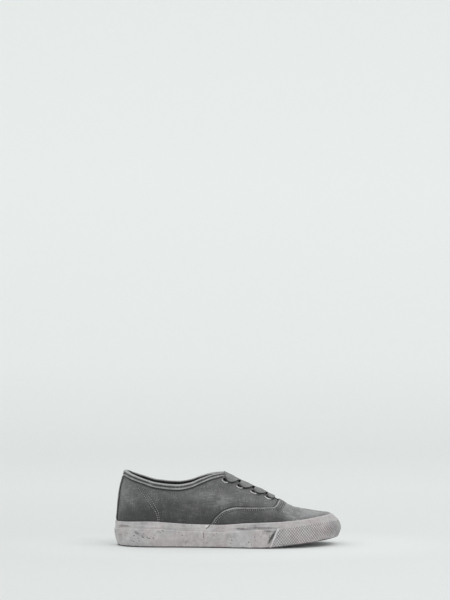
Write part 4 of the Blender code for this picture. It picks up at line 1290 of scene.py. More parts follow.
def build_tread(finishes):
    """Outsole: chevron channels as in the solid, and finer ribs between them."""
    near_edge = np.linspace(0.004, 0.104, 12, endpoint=False)
    rows = np.concatenate([[0.0], near_edge, np.linspace(0.104, 0.896, 66), 1 - near_edge[::-1], [1.0]])
    low, _ = sole_grid(TREAD_STEP, rows, 0.0, UPPER_DEPTH)
    y, x = low[..., 1], low[..., 0]
    outer, inner = low[:, :1, 1], low[:, -1:, 1]
    to_edge = np.minimum(y - outer, inner - y)
    to_end = np.minimum(x - x.min(), x.max() - x)
    rim = np.minimum(to_edge, to_end)
    aside = y - GROOVE_BEND
    to_outer = outer + GROOVE_MARGIN - GROOVE_BEND - 1e-6
    to_inner = inner - GROOVE_MARGIN - GROOVE_BEND
    reach = np.where(y < GROOVE_BEND, aside / to_outer, aside / to_inner)
    chevron = x + GROOVE_SWEEP * np.clip(reach, 0, 1.2)
    channel = np.zeros_like(x)
    for at in GROOVES_AT:
        off = np.abs(chevron - at - GROOVE_WIDTH / 2)
        channel = np.maximum(channel, 1 - smooth(off, GROOVE_WIDTH / 2 - 0.0007, GROOVE_WIDTH / 2 + 0.0001))
    inside = smooth(rim, 0.0085, 0.0100)
    worn = 1 - 0.6 * np.exp(-(((x - 0.020) / 0.022) ** 2) - (((y + 0.014) / 0.020) ** 2))
    worn = worn * (1 - 0.55 * np.exp(-(((x - 0.178) / 0.026) ** 2) - (((y - 0.006) / 0.026) ** 2)))
    wave = (chevron - GROOVES_AT[0] - GROOVE_WIDTH / 2) / (GROOVE_PITCH / 5)
    rib = smooth(np.abs(wave - np.round(wave)), 0.10, 0.24)
    border = smooth(np.abs(rim - 0.0070), 0.0004, 0.0009)
    cut = np.maximum(channel * inside * GROOVE_DEPTH, (1 - rib) * inside * 0.0006)
    cut = np.maximum(cut, (1 - border) * 0.0007) * worn
    ticks = 1 - smooth(np.abs((x / 0.0033) % 1 - 0.5) * 2, 0.18, 0.42)
    ticks = ticks * (1 - smooth(rim, 0.0055, 0.0062)) * smooth(rim, 0.0002, 0.0008)
    cut = np.maximum(cut, ticks * 0.0005)
    low[..., 2] = floor_rise(x) + cut
    high, _ = sole_grid(TREAD_STEP, rows, BED_SHARE, UPPER_DEPTH)
    place = np.stack([cut, rim], axis=-1)
    maps = {"cloth": np.stack([x, y], axis=-1), "place": place}
    return loft("tread", paired(low, high), both_faces(maps), finishes, caps=False)


def build_footbed(finishes):
    """Insole, a little dished and worn."""
    rows = np.concatenate([[0.0, 0.006], np.linspace(0.02, 0.98, 56), [0.994, 1.0]])
    inset = UPPER_DEPTH + CANVAS + 2 * SOFT_GAP
    low, half = sole_grid(0.0014, rows, BED_SHARE, inset)
    height, _ = wall_height(half)
    share = (BED_SHARE + INSOLE / height)[:, None]
    mix = rows[None, :, None]
    outer, inner = (wall_point(side * half[:, None], share, inset) for side in (LATERAL, MEDIAL))
    high = outer * (1 - mix) + inner * mix
    x, y = high[..., 0], high[..., 1]
    rim = np.minimum(np.minimum(y - y[:, :1], y[:, -1:] - y), np.minimum(x - x.min(), x.max() - x))
    dish = -0.0011 * smooth(rim, 0.002, 0.016) - rounded(rim, 0.0007, 0.0010)
    press = -0.0005 * np.exp(-(((x - 0.040) / 0.020) ** 2) - ((y / 0.017) ** 2))
    high[..., 2] += dish + press + 0.00012 * lumps(high, 0.012, 4.4) * smooth(rim, 0.001, 0.006)
    low[..., 2] += GAP
    maps = laid((x, y), (0.03, rim), (1.0, 1.0))
    return loft("footbed", paired(high, low), both_faces(maps), finishes, caps=False)


# ---- Nodes, shared by Geometry Nodes and materials ----
def put(tree, kind, **settings):
    """A new node with its settings."""
    node = tree.nodes.new(kind)
    for name, value in settings.items():
        setattr(node, name, value)
    return node


def feed(tree, socket, value):
    """Joins another node's socket to this one, or sets it to a value."""
    if isinstance(value, bpy.types.NodeSocket):
        tree.links.new(value, socket)
    elif value is not None:
        socket.default_value = value


def fed(tree, kind, inputs, output=0, **settings):
    """One output of a new node, its inputs given by name or number."""
    node = put(tree, kind, **settings)
    for name, value in inputs.items():
        feed(tree, node.inputs[name], value)
    return node.outputs[output]


def math_of(tree, operation, *values):
    return fed(tree, "ShaderNodeMath", dict(enumerate(values)), operation=operation)


def times(tree, first, second):
    return math_of(tree, "MULTIPLY", first, second)


def minus(tree, first, second):
    return math_of(tree, "SUBTRACT", first, second)


def plus(tree, value, more, share):
    """The value with a share of more added."""
    return math_of(tree, "ADD", value, times(tree, more, share))


def summed(tree, value, parts):
    """The value with every part added. parts: (field, its share)."""
    for more, share in parts:
        value = plus(tree, value, more, share)
    return value


def vector_of(tree, operation, *values, output=0):
    return fed(tree, "ShaderNodeVectorMath", dict(enumerate(values)), output, operation=operation)


def parts_of(tree, vector):
    """The vector's X, Y and Z."""
    node = put(tree, "ShaderNodeSeparateXYZ")
    feed(tree, node.inputs[0], vector)
    return node.outputs


def ramp(tree, value, low, high, to_low=0.0, to_high=1.0):
    """A smooth, clamped change from to_low to to_high as value goes from low to high."""
    inputs = dict(enumerate((value, low, high, to_low, to_high)))
    return fed(tree, "ShaderNodeMapRange", inputs, interpolation_type="SMOOTHSTEP")


def falling(tree, value, low, high):
    """1 below low and 0 above high."""
    return ramp(tree, value, low, high, 1.0, 0.0)


def noise_of(tree, vector, scale, detail, rough):
    inputs = {"Vector": vector, "Scale": scale, "Detail": detail, "Roughness": rough}
    return fed(tree, "ShaderNodeTexNoise", inputs)


def noise_vector(tree, vector, scale):
    """A wandering vector, centred on zero."""
    inputs = {"Vector": vector, "Scale": scale, "Detail": 2.0}
    colour = fed(tree, "ShaderNodeTexNoise", inputs, "Color")
    return vector_of(tree, "SUBTRACT", colour, (0.5, 0.5, 0.5))


def cells_of(tree, vector, scale):
    """Distance from the nearest of scattered spots."""
    return fed(tree, "ShaderNodeTexVoronoi", {"Vector": vector, "Scale": scale}, "Distance")


def mixed(tree, share, first, second):
    """Colour between first and second."""
    return fed(tree, "ShaderNodeMix", {0: share, 6: first, 7: second}, 2, data_type="RGBA")


def group_of(name, kind, inputs, outputs):
    """An empty node group and its two end nodes. inputs: (name, socket kind, default)."""
    tree = bpy.data.node_groups.new(name, kind)
    for label, socket, default in inputs:
        made = tree.interface.new_socket(label, in_out="INPUT", socket_type=socket)
        if default is not None:
            made.default_value = default
    for label, socket in outputs:
        tree.interface.new_socket(label, in_out="OUTPUT", socket_type=socket)
    return tree, tree.nodes.new("NodeGroupInput").outputs, tree.nodes.new("NodeGroupOutput").inputs


FLOAT, VECTOR, GEOMETRY = "NodeSocketFloat", "NodeSocketVector", "NodeSocketGeometry"


# ---- Geometry Nodes: stitches and eyelets ----
def vector_on(tree, name):
    """A vector that the points carry."""
    return fed(tree, "GeometryNodeInputNamedAttribute", {"Name": name}, data_type="FLOAT_VECTOR")


def set_on(tree, points, piece, along):
    """Copies of a piece on points, its Z along face_out and its X along a direction."""
    axes = {0: vector_on(tree, "face_out"), 1: along}
    turn = fed(tree, "FunctionNodeAxesToRotation", axes, primary_axis="Z", secondary_axis="X")
    inputs = {"Points": points, "Instance": piece, "Rotation": turn}
    return fed(tree, "GeometryNodeInstanceOnPoints", inputs)


def stitch_tree():
    """Stitches along a path of edges: a short, round-ended thread at every pitch."""
    tree, given, result = group_of(
        "stitches along a row", "GeometryNodeTree",
        (("Row", GEOMETRY, None), ("Pitch", FLOAT, 0.0024), ("Length", FLOAT, 0.0018),
         ("Width", FLOAT, 0.0005), ("Height", FLOAT, 0.0003), ("Wander", FLOAT, 0.08),
         ("Seed", "NodeSocketInt", 3), ("Thread", "NodeSocketMaterial", None)),
        (("Stitches", GEOMETRY),),
    )
    path = fed(tree, "GeometryNodeMeshToCurve", {0: given["Row"]})
    even = fed(tree, "GeometryNodeResampleCurve", {0: path, "Length": given["Pitch"]}, mode="LENGTH")
    ball = fed(tree, "GeometryNodeMeshUVSphere", {"Segments": 8, "Rings": 6, "Radius": 0.5})
    size = fed(tree, "ShaderNodeCombineXYZ", {0: given["Length"], 1: given["Width"], 2: given["Height"]})
    thread = fed(tree, "GeometryNodeTransform", {"Geometry": ball, "Scale": size})
    placed = set_on(tree, even, thread, fed(tree, "GeometryNodeInputTangent", {}))
    low, high = (
        fed(tree, "ShaderNodeCombineXYZ", {0: 0.0, 1: 0.0, 2: reach})
        for reach in (times(tree, given["Wander"], -1.0), given["Wander"])
    )
    spread = {0: low, 1: high, "Seed": given["Seed"]}
    swing = fed(tree, "FunctionNodeRandomValue", spread, data_type="FLOAT_VECTOR")
    swung = fed(tree, "GeometryNodeRotateInstances", {"Instances": placed, "Rotation": swing})
    real = fed(tree, "GeometryNodeRealizeInstances", {0: swung})
    coloured = fed(tree, "GeometryNodeSetMaterial", {"Geometry": real, "Material": given["Thread"]})
    feed(tree, result["Stitches"], fed(tree, "GeometryNodeSetShadeSmooth", {"Geometry": coloured}))
    return tree


def eyelet_tree():
    """Copies of one eyelet on points, its X along face_along."""
    tree, given, result = group_of(
        "set on points", "GeometryNodeTree",
        (("Points", GEOMETRY, None), ("Piece", "NodeSocketObject", None),
         ("Finish", "NodeSocketMaterial", None)),
        (("Pieces", GEOMETRY),),
    )
    piece = fed(tree, "GeometryNodeObjectInfo", {"Object": given["Piece"]}, "Geometry")
    points = fed(tree, "GeometryNodeMeshToPoints", {"Mesh": given["Points"]})
    placed = set_on(tree, points, piece, vector_on(tree, "face_along"))
    real = fed(tree, "GeometryNodeRealizeInstances", {0: placed})
    coloured = fed(tree, "GeometryNodeSetMaterial", {"Geometry": real, "Material": given["Finish"]})
    feed(tree, result["Pieces"], coloured)
    return tree


def carrier(name, paths, vectors):
    """An object of loose points or chains of edges, with vector attributes. paths: lists of points."""
    mesh = bpy.data.meshes.new(name)
    edges, start = [], 0
    for path in paths:
        edges += [(start + k, start + k + 1) for k in range(len(path) - 1)]
        start += len(path)
    mesh.from_pydata((np.concatenate(paths) - MIDDLE).tolist(), edges, [])
    for label, values in vectors.items():
        made = mesh.attributes.new(label, "FLOAT_VECTOR", "POINT")
        made.data.foreach_set("vector", np.concatenate(values).astype(np.float32).ravel())
    return linked(name, mesh)


def grown(made, tree, **inputs):
    """The object as a plain mesh of what the tree makes of it."""
    modifier = made.modifiers.new("made", "NODES")
    modifier.node_group = tree
    for item in tree.interface.items_tree:
        if item.in_out == "INPUT" and item.name in inputs:
            modifier[item.identifier] = inputs[item.name]
    return plain(made)


def build_stitches(name, rows, lift, tree, thread, **sizes):
    """Stitches on rows given as turns and angles of the upper."""
    paths, outward = [], []
    for turn, angle in rows:
        paths.append(cloth_points(turn, angle, lift))
        outward.append(surface_normal(turn, angle))
    return grown(carrier(name, paths, {"face_out": outward}), tree, Thread=thread, **sizes)


def build_tongue_stitches(tree, thread):
    """Rows down both sides of the tongue and across its free end."""
    down = np.linspace(0.07, 0.9, 90)
    half = tongue_half(down)
    rows = [(down, sign * (half - TONGUE_ROW) / half) for sign in (-1, 1)]
    rows.append((np.full(60, TONGUE_ROW / (TONGUE_FOOT - TONGUE_TOP)), np.linspace(-0.78, 0.78, 60)))
    paths, outward = [], []
    for share, across in rows:
        x, aside, depth = tongue_grid(share, across)
        paths.append(on_instep(x, aside, -depth + 0.00002))
        outward.append(on_instep(x, aside, -depth + 0.001) - paths[-1])
    made = carrier("tongue_stitches", paths, {"face_out": outward})
    return grown(made, tree, Thread=thread, Pitch=0.0026, Length=0.0019, Width=0.0005, Height=0.00030)


def build_binding_stitches(tree, thread):
    """The binding's row of stitches, seen on both of its faces."""
    _, low, high, out_low, out_high = binding_rails(-0.001)
    normal = out_low * (1 - BINDING_ROW) + out_high * BINDING_ROW
    row = low + (high - low) * BINDING_ROW
    paths = [row + normal * 0.00100, row - normal * (CANVAS + 0.00100)]
    made = carrier("binding_stitches", paths, {"face_out": [normal, -normal]})
    return grown(made, tree, Thread=thread, Pitch=0.0025, Length=0.0019, Width=0.00055, Height=0.0004)


def build_eyelets(tree, finish):
    """Rolled metal eyelets, all turned from one profile."""
    barrel = EYELET_HOLE + 0.0005
    profile = [(EYELET_HOLE, -CANVAS - 0.0002), (EYELET_HOLE, -0.0008), (EYELET_HOLE, 0.0004)]
    inner_roll = ((0.0002, 0.0010), (0.0006, 0.0013), (0.0011, 0.0014), (0.0016, 0.0012))
    outer_roll = (
        (-0.0003, 0.0009), (0.0, 0.00045), (-0.0002, 0.0002), (-0.0006, 0.0003), (-0.0010, 0.0003),
        (-0.0014, 0.0002),
    )
    profile += [(EYELET_HOLE + r, z) for r, z in inner_roll]
    profile += [(EYELET_RADIUS + r, z) for r, z in outer_roll]
    profile = np.array(profile + [(barrel, 0.0), (barrel, -0.0008), (barrel, -CANVAS - 0.0002)])
    around, corners = 40, len(profile)
    spin = np.linspace(0, 2 * np.pi, around + 1)[:-1]
    ring = np.stack([np.cos(spin), np.sin(spin)], axis=-1)
    level = np.broadcast_to(profile[None, :, 1:], (around, corners, 1))
    sections = np.concatenate([profile[None, :, :1] * ring[:, None], level], axis=-1)
    u, v = np.broadcast_arrays(np.linspace(0, 1, around + 1)[:, None], np.arange(corners)[None])
    maps = {"cloth": np.stack([u, v], axis=-1)}
    one = loft("one_eyelet", sections + MIDDLE, maps, [], ring=True, sharp=60)
    spots = [eyelet_frame(side, x) for side in (LATERAL, MEDIAL) for x in EYELETS_AT]
    points, outward, _, along = (np.array(part) for part in zip(*spots))
    single = [points[k : k + 1] for k in range(len(points))]
    made = carrier("eyelets", single, {"face_out": [outward], "face_along": [along]})
    made = grown(made, tree, Piece=one, Finish=finish)
    bpy.data.objects.remove(one)
    return made


# ---- Shared effects ----
def woven_group():
    """Washed, worn canvas: its tone from dark to light, and the height of its threads."""
    tree, given, result = group_of(
        "woven cloth", "ShaderNodeTree",
        (("Cloth", VECTOR, None), ("Place", VECTOR, None), ("Seams", VECTOR, None),
         ("Position", VECTOR, None), ("Thread pitch", FLOAT, 0.00062), ("Tone", FLOAT, 0.5),
         ("Patches", FLOAT, 0.5), ("Streaks", FLOAT, 0.4), ("Low fade", FLOAT, 0.4),
         ("Edge wear", FLOAT, 0.5), ("Row groove", FLOAT, 0.4), ("Pile", FLOAT, 0.3),
         ("Flecks", FLOAT, 0.2)),
        (("Tone", FLOAT), ("Height", FLOAT)),
    )
    cloth, position = given["Cloth"], given["Position"]
    wander = {0: noise_vector(tree, cloth, 180.0), "Scale": 0.00035}
    bent = vector_of(tree, "ADD", cloth, fed(tree, "ShaderNodeVectorMath", wander, operation="SCALE"))
    turns = [math_of(tree, "DIVIDE", run, given["Thread pitch"]) for run in parts_of(tree, bent)[:2]]
    waves = [math_of(tree, "SINE", times(tree, t, math.pi)) for t in turns]
    over = times(tree, *waves)
    gaps = [math_of(tree, "POWER", math_of(tree, "ABSOLUTE", w), 0.5) for w in waves]
    weave = plus(tree, times(tree, over, 0.30), *gaps)

    weft, warp = (
        noise_of(tree, vector_of(tree, "MULTIPLY", cloth, drawn_out), 1000.0, 3.0, 0.55)
        for drawn_out in ((0.09, 1.0, 1.0), (1.0, 0.09, 1.0))
    )
    slub = minus(tree, math_of(tree, "ADD", weft, warp), 1.0)
    broad = noise_of(tree, position, 38.0, 5.0, 0.62)
    small = noise_of(tree, position, 150.0, 4.0, 0.6)
    patches = minus(tree, plus(tree, times(tree, broad, 1.4), small, 0.6), 1.0)
    streaks = times(tree, slub, ramp(tree, broad, 0.30, 0.62, 0.35, 1.5))
    fleck = noise_of(tree, position, 700.0, 2.0, 0.6)
    fleck = minus(tree, ramp(tree, fleck, 0.42, 0.68), 0.3)
    fleck = times(tree, fleck, ramp(tree, small, 0.38, 0.60, 0.3, 1.4))
    place, seams = parts_of(tree, given["Place"]), parts_of(tree, given["Seams"])
    # Darker towards the bottom of the cloth: partly wear, partly painted shade. Where place holds a painted
    # light level (laces, binding), it lays that painted shade.
    low = ramp(tree, plus(tree, place[0], broad, 0.010), 0.004, 0.034)
    # Lighter at cut edges and folds: fraying wear and a painted highlight.
    frayed = minus(tree, place[1], times(tree, small, 0.0006))
    edge = falling(tree, frayed, 0.0005, 0.0018)
    # Darker along stitch rows and laps: painted shade in the stitch holes, and painted shade with dirt
    # beside each lap.
    row = falling(tree, seams[0], 0.0004, 0.0017)
    lap = falling(tree, seams[1], 0.0008, 0.0024)
    parts = (
        (patches, given["Patches"]), (streaks, given["Streaks"]),
        (minus(tree, low, 0.6), given["Low fade"]), (edge, given["Edge wear"]),
        (times(tree, row, -0.5), given["Row groove"]), (times(tree, lap, -1.5), given["Row groove"]),
        (minus(tree, weave, 0.45), given["Pile"]), (fleck, given["Flecks"]),
    )
    feed(tree, result["Tone"], summed(tree, given["Tone"], parts))
    fluff = noise_of(tree, position, 1500.0, 3.0, 0.6)
    height = plus(tree, plus(tree, weave, slub, 0.9), fluff, 0.5)
    height = minus(tree, height, times(tree, row, 0.9))
    feed(tree, result["Height"], height)
    return tree


def rubber_group():
    """Old, washed rubber: tone from dark to light (dirt, and painted shade at the foot and in pressed
    grooves), how warm its stain is, and its fine relief.
    """
    tree, given, result = group_of(
        "aged rubber", "ShaderNodeTree",
        (("Position", VECTOR, None), ("Place", VECTOR, None), ("Tone", FLOAT, 0.55),
         ("Mottle", FLOAT, 0.5), ("Specks", FLOAT, 0.5), ("Rim wear", FLOAT, 0.4),
         ("Foot dirt", FLOAT, 0.3), ("Lengthwise", FLOAT, 0.35), ("Pressed", VECTOR, None),
         ("Pressed dirt", FLOAT, 0.0)),
        (("Tone", FLOAT), ("Warm", FLOAT), ("Height", FLOAT)),
    )
    position = given["Position"]
    broad = noise_of(tree, position, 55.0, 4.0, 0.6)
    small = noise_of(tree, vector_of(tree, "ADD", position, (0.31, 0.17, 0.0)), 210.0, 4.0, 0.65)
    fine = noise_of(tree, position, 900.0, 3.0, 0.6)
    lengthwise = noise_of(tree, vector_of(tree, "MULTIPLY", position, (0.12, 0.12, 1.0)), 700.0, 3.0, 0.5)
    stray = vector_of(tree, "MULTIPLY", noise_vector(tree, position, 500.0), (0.002, 0.002, 0.002))
    spots = cells_of(tree, vector_of(tree, "ADD", position, stray), 420.0)
    cluster = noise_of(tree, vector_of(tree, "ADD", position, (0.0, 0.0, 0.6)), 120.0, 3.0, 0.6)
    speck = times(tree, falling(tree, spots, 0.06, 0.42), ramp(tree, cluster, 0.50, 0.66))
    pits = ramp(tree, cells_of(tree, position, 900.0), 0.0, 0.35)
    place, pattern = parts_of(tree, given["Place"]), parts_of(tree, given["Pressed"])
    rim = falling(tree, plus(tree, place[1], fine, 0.0004), 0.0002, 0.0012)
    # Darker along the band's foot: dirt and a painted contact shadow.
    foot = falling(tree, plus(tree, place[0], small, 0.0010), 0.0008, 0.0026)
    # Darker in the pressed pattern's grooves: dirt and painted shade.
    pressed = times(tree, pattern[1], minus(tree, pattern[0], 1.05))
    parts = (
        (minus(tree, broad, 0.5), given["Mottle"]),
        (times(tree, minus(tree, small, 0.5), 0.8), given["Mottle"]),
        (times(tree, minus(tree, fine, 0.5), 0.5), given["Mottle"]),
        (minus(tree, lengthwise, 0.5), given["Lengthwise"]),
        (times(tree, speck, -1.0), given["Specks"]), (rim, given["Rim wear"]),
        (times(tree, foot, -1.0), given["Foot dirt"]), (pressed, given["Pressed dirt"]),
    )
    feed(tree, result["Tone"], summed(tree, given["Tone"], parts))
    stained = vector_of(tree, "ADD", position, (0.0, 0.4, 0.2))
    feed(tree, result["Warm"], noise_of(tree, stained, 42.0, 3.0, 0.55))
    height = plus(tree, times(tree, fine, 0.6), pits, 0.25)
    feed(tree, result["Height"], plus(tree, height, small, 0.8))
    return tree


def mark_group():
    """A ragged patch on one side of the shoe, 1 at its middle."""
    tree, given, result = group_of(
        "ragged mark", "ShaderNodeTree",
        (("Position", VECTOR, None), ("Centre", VECTOR, None), ("Reach", VECTOR, None),
         ("Tilt", FLOAT, 0.0), ("Side", FLOAT, -1.0), ("Ragged", FLOAT, 0.8)),
        (("Mask", FLOAT),),
    )
    away = vector_of(tree, "SUBTRACT", given["Position"], given["Centre"])
    turned = fed(
        tree, "ShaderNodeVectorRotate", {"Vector": away, "Angle": given["Tilt"]}, rotation_type="Y_AXIS"
    )
    scaled = vector_of(tree, "DIVIDE", vector_of(tree, "MULTIPLY", turned, (1.0, 0.0, 1.0)), given["Reach"])
    far = vector_of(tree, "LENGTH", scaled, output="Value")
    rough = minus(tree, noise_of(tree, given["Position"], 650.0, 4.0, 0.65), 0.5)
    mask = falling(tree, plus(tree, far, rough, given["Ragged"]), 0.35, 1.10)
    aside = times(tree, parts_of(tree, given["Position"])[1], given["Side"])
    here = math_of(tree, "GREATER_THAN", aside, 0.0)
    feed(tree, result["Mask"], times(tree, mask, here))
    return tree


WOVEN, RUBBER, MARK = woven_group(), rubber_group(), mark_group()


# ---- Finishes ----
def spelt(values):
    """The values by the spelling of their sockets, with spaces."""
    return {name.replace("_", " "): value for name, value in values.items()}


def new_finish(name, **sockets):
    """A material with values set on its shader's own sockets."""
    made = bpy.data.materials.new(name)
    made.use_nodes = True
    shader = made.node_tree.nodes["Principled BSDF"]
    for label, value in spelt(sockets).items():
        shader.inputs[label].default_value = value
    return made, made.node_tree, shader


def placed_group(tree, group, inputs):
    node = put(tree, "ShaderNodeGroup", node_tree=group)
    for label, value in inputs.items():
        feed(tree, node.inputs[label], value)
    return node


def colours(tree, tone, stops):
    """Colour for a tone, from (place, colour) stops."""
    node = put(tree, "ShaderNodeValToRGB")
    feed(tree, node.inputs[0], tone)
    line = node.color_ramp
    while len(line.elements) < len(stops):
        line.elements.new(1.0)
    for element, (place, colour) in zip(line.elements, stops):
        element.position = place
        element.color = (*colour, 1.0)
    return node.outputs[0]


def with_marks(tree, position, tone, marks):
    """The tone with each mark's change added. A mark is (side, (x, z), reach, tilt, change, ragged)."""
    for side, (x, z), (long, high), tilt, change, ragged in marks:
        inputs = {
            "Position": position, "Centre": (x, 0.0, z), "Reach": (long, 1.0, high),
            "Tilt": math.radians(tilt), "Side": float(side), "Ragged": ragged,
        }
        tone = plus(tree, tone, placed_group(tree, MARK, inputs).outputs[0], change)
    return tone


def raised(tree, shader, height, distance):
    """Feeds the height to the shader's normal."""
    inputs = {"Strength": 1.0, "Distance": distance, "Height": height}
    feed(tree, shader.inputs["Normal"], fed(tree, "ShaderNodeBump", inputs))


def position_on(tree):
    return put(tree, "ShaderNodeTexCoord").outputs["Object"]


def maps_on(tree, *layers):
    """The piece's own maps by their inputs' names."""
    return {layer.capitalize(): put(tree, "ShaderNodeUVMap", uv_map=layer).outputs[0] for layer in layers}


def cloth_finish(name, stops, marks=(), bump=0.00022, **values):
    """Washed cotton: stops colour its tone, marks change the tone in places."""
    made, tree, shader = new_finish(
        name, Roughness=0.92, Specular_IOR_Level=0.2,
        Sheen_Weight=0.25, Sheen_Roughness=0.6, Sheen_Tint=(0.9, 0.9, 0.92, 1.0),
    )
    position = position_on(tree)
    inputs = {**maps_on(tree, "cloth", "place", "seams"), "Position": position, **spelt(values)}
    woven = placed_group(tree, WOVEN, inputs)
    tone = with_marks(tree, position, woven.outputs["Tone"], marks)
    feed(tree, shader.inputs["Base Color"], colours(tree, tone, stops))
    raised(tree, shader, woven.outputs["Height"], bump)
    return made


def rubber_finish(name, marks=(), **values):
    """Aged white rubber, stained cool and warm in places."""
    made, tree, shader = new_finish(name, Specular_IOR_Level=0.35)
    position = position_on(tree)
    layers = ("place", "pressed") if "Pressed_dirt" in values else ("place",)
    inputs = {**maps_on(tree, *layers), "Position": position, **spelt(values)}
    aged = placed_group(tree, RUBBER, inputs)
    tone = with_marks(tree, position, aged.outputs["Tone"], marks)
    cool, warm = colours(tree, tone, RUBBER_STOPS), colours(tree, tone, WARM_STOPS)
    share = ramp(tree, aged.outputs["Warm"], 0.40, 0.62)
    feed(tree, shader.inputs["Base Color"], mixed(tree, share, cool, warm))
    feed(tree, shader.inputs["Roughness"], ramp(tree, tone, 0.2, 0.8, 0.85, 0.62))
    raised(tree, shader, aged.outputs["Height"], 0.00012)
    return made


def grey(value):
    return (value, value, value)


CANVAS_STOPS = ((0.0, grey(0.050)), (0.35, grey(0.086)), (0.60, grey(0.138)), (1.0, grey(0.28)))
VAMP_STOPS = (
    (0.0, grey(0.045)), (0.35, grey(0.096)), (0.60, grey(0.150)), (0.82, grey(0.225)), (1.0, grey(0.40)),
)
# Its darkest stop serves the painted shade inside the binding.
TRIM_STOPS = ((0.0, grey(0.018)), (0.35, grey(0.150)), (0.65, grey(0.27)), (1.0, grey(0.48)))
# Near black: painted shade inside the shoe, for the lining and the footbed.
LINING_PAINTED_SHADE_STOPS = ((0.0, grey(0.006)), (0.5, grey(0.014)), (1.0, grey(0.05)))
# Its darkest stop is the painted shade on the laces' toe edges and undersides.
LACE_STOPS = ((0.0, grey(0.022)), (0.40, grey(0.120)), (0.7, grey(0.200)), (1.0, grey(0.32)))
RUBBER_STOPS = (
    (0.0, (0.09, 0.09, 0.09)), (0.30, (0.27, 0.262, 0.262)), (0.60, (0.455, 0.445, 0.445)),
    (1.0, (0.68, 0.67, 0.668)),
)
WARM_STOPS = (
    (0.0, (0.10, 0.085, 0.08)), (0.30, (0.285, 0.255, 0.255)), (0.60, (0.47, 0.430, 0.430)),
    (1.0, (0.69, 0.655, 0.655)),
)

# (side, (x, z) in the frame, (half length, half height), tilt in degrees, change of tone, raggedness)
TAPE_MARKS = (
    (LATERAL, (-0.1086, 0.0136), (0.0014, 0.0007), -20, -0.55, 0.8),
    (LATERAL, (-0.0980, 0.0120), (0.0024, 0.0008), -12, -0.60, 0.8),
    (LATERAL, (-0.0910, 0.0107), (0.0020, 0.0008), 10, -0.60, 0.8),
    (LATERAL, (-0.1004, 0.0150), (0.0100, 0.0022), -14, -0.16, 1.2),
    (LATERAL, (-0.1060, 0.0176), (0.0050, 0.0018), -30, -0.18, 1.2),
    (LATERAL, (-0.0793, 0.0182), (0.0034, 0.0006), -25, -0.30, 0.8),
    (LATERAL, (0.0010, 0.0140), (0.0050, 0.0045), 30, -0.16, 2.2),
    (LATERAL, (0.0090, 0.0160), (0.0045, 0.0030), 10, -0.14, 2.4),
    (LATERAL, (0.0309, 0.0134), (0.0012, 0.0012), 0, -0.35, 1.4),
    (LATERAL, (0.0470, 0.0205), (0.0072, 0.0016), -8, -0.24, 1.0),
    (LATERAL, (0.0503, 0.0128), (0.0021, 0.0108), -29, -0.66, 0.6),
    (LATERAL, (0.0465, 0.0185), (0.0050, 0.0040), -22, -0.14, 1.0),
    (LATERAL, (-0.0279, 0.0150), (0.0010, 0.0060), 3, -0.42, 1.2),
    (LATERAL, (-0.0560, 0.0110), (0.0140, 0.0040), 0, 0.10, 1.2),
    (LATERAL, (-0.1250, 0.0110), (0.0030, 0.0060), 10, -0.10, 2.0),
    (MEDIAL, (0.0460, 0.0140), (0.0034, 0.0110), -20, -0.36, 0.8),
    (MEDIAL, (-0.0600, 0.0130), (0.0060, 0.0014), 12, -0.30, 1.2),
    (MEDIAL, (-0.0200, 0.0100), (0.0100, 0.0026), -6, -0.20, 1.8),
    (MEDIAL, (0.0200, 0.0160), (0.0020, 0.0008), 25, -0.50, 0.8),
    (MEDIAL, (-0.0960, 0.0150), (0.0070, 0.0022), -14, -0.24, 1.4),
)
SIDEWALL_MARKS = (
    (LATERAL, (-0.1203, 0.0240), (0.0090, 0.0016), 3, -0.34, 1.0),
    (LATERAL, (0.0145, 0.0228), (0.0070, 0.0014), -2, -0.28, 1.0),
    (LATERAL, (0.0400, 0.0238), (0.0190, 0.0018), 0, -0.32, 1.0),
    (LATERAL, (0.0180, 0.0222), (0.0140, 0.0020), -3, -0.14, 1.4),
    (LATERAL, (-0.0240, 0.0252), (0.0030, 0.0019), 40, 0.50, 0.6),
    (LATERAL, (-0.0221, 0.0247), (0.0036, 0.0006), 45, -1.0, 0.3),
    (LATERAL, (-0.0244, 0.0226), (0.0011, 0.0007), 0, -0.7, 0.6),
    (LATERAL, (-0.0800, 0.0260), (0.0300, 0.0026), 2, 0.08, 1.2),
    (MEDIAL, (0.0350, 0.0240), (0.0160, 0.0018), -5, -0.34, 1.0),
    (MEDIAL, (-0.0800, 0.0240), (0.0120, 0.0016), 3, -0.26, 1.2),
    (MEDIAL, (-0.0100, 0.0220), (0.0080, 0.0014), 2, -0.30, 1.2),
)
BUMPER_MARKS = (
    (LATERAL, (0.1149, 0.0088), (0.0100, 0.0005), 4, -1.0, 0.6),
    (LATERAL, (0.0750, 0.0040), (0.0160, 0.0012), -4, -0.20, 1.2),
    (LATERAL, (0.1180, 0.0190), (0.0100, 0.0080), 10, -0.16, 1.0),
    (MEDIAL, (0.1000, 0.0080), (0.0120, 0.0007), -12, -0.50, 0.7),
    (MEDIAL, (0.1180, 0.0180), (0.0100, 0.0080), 10, -0.16, 1.0),
)
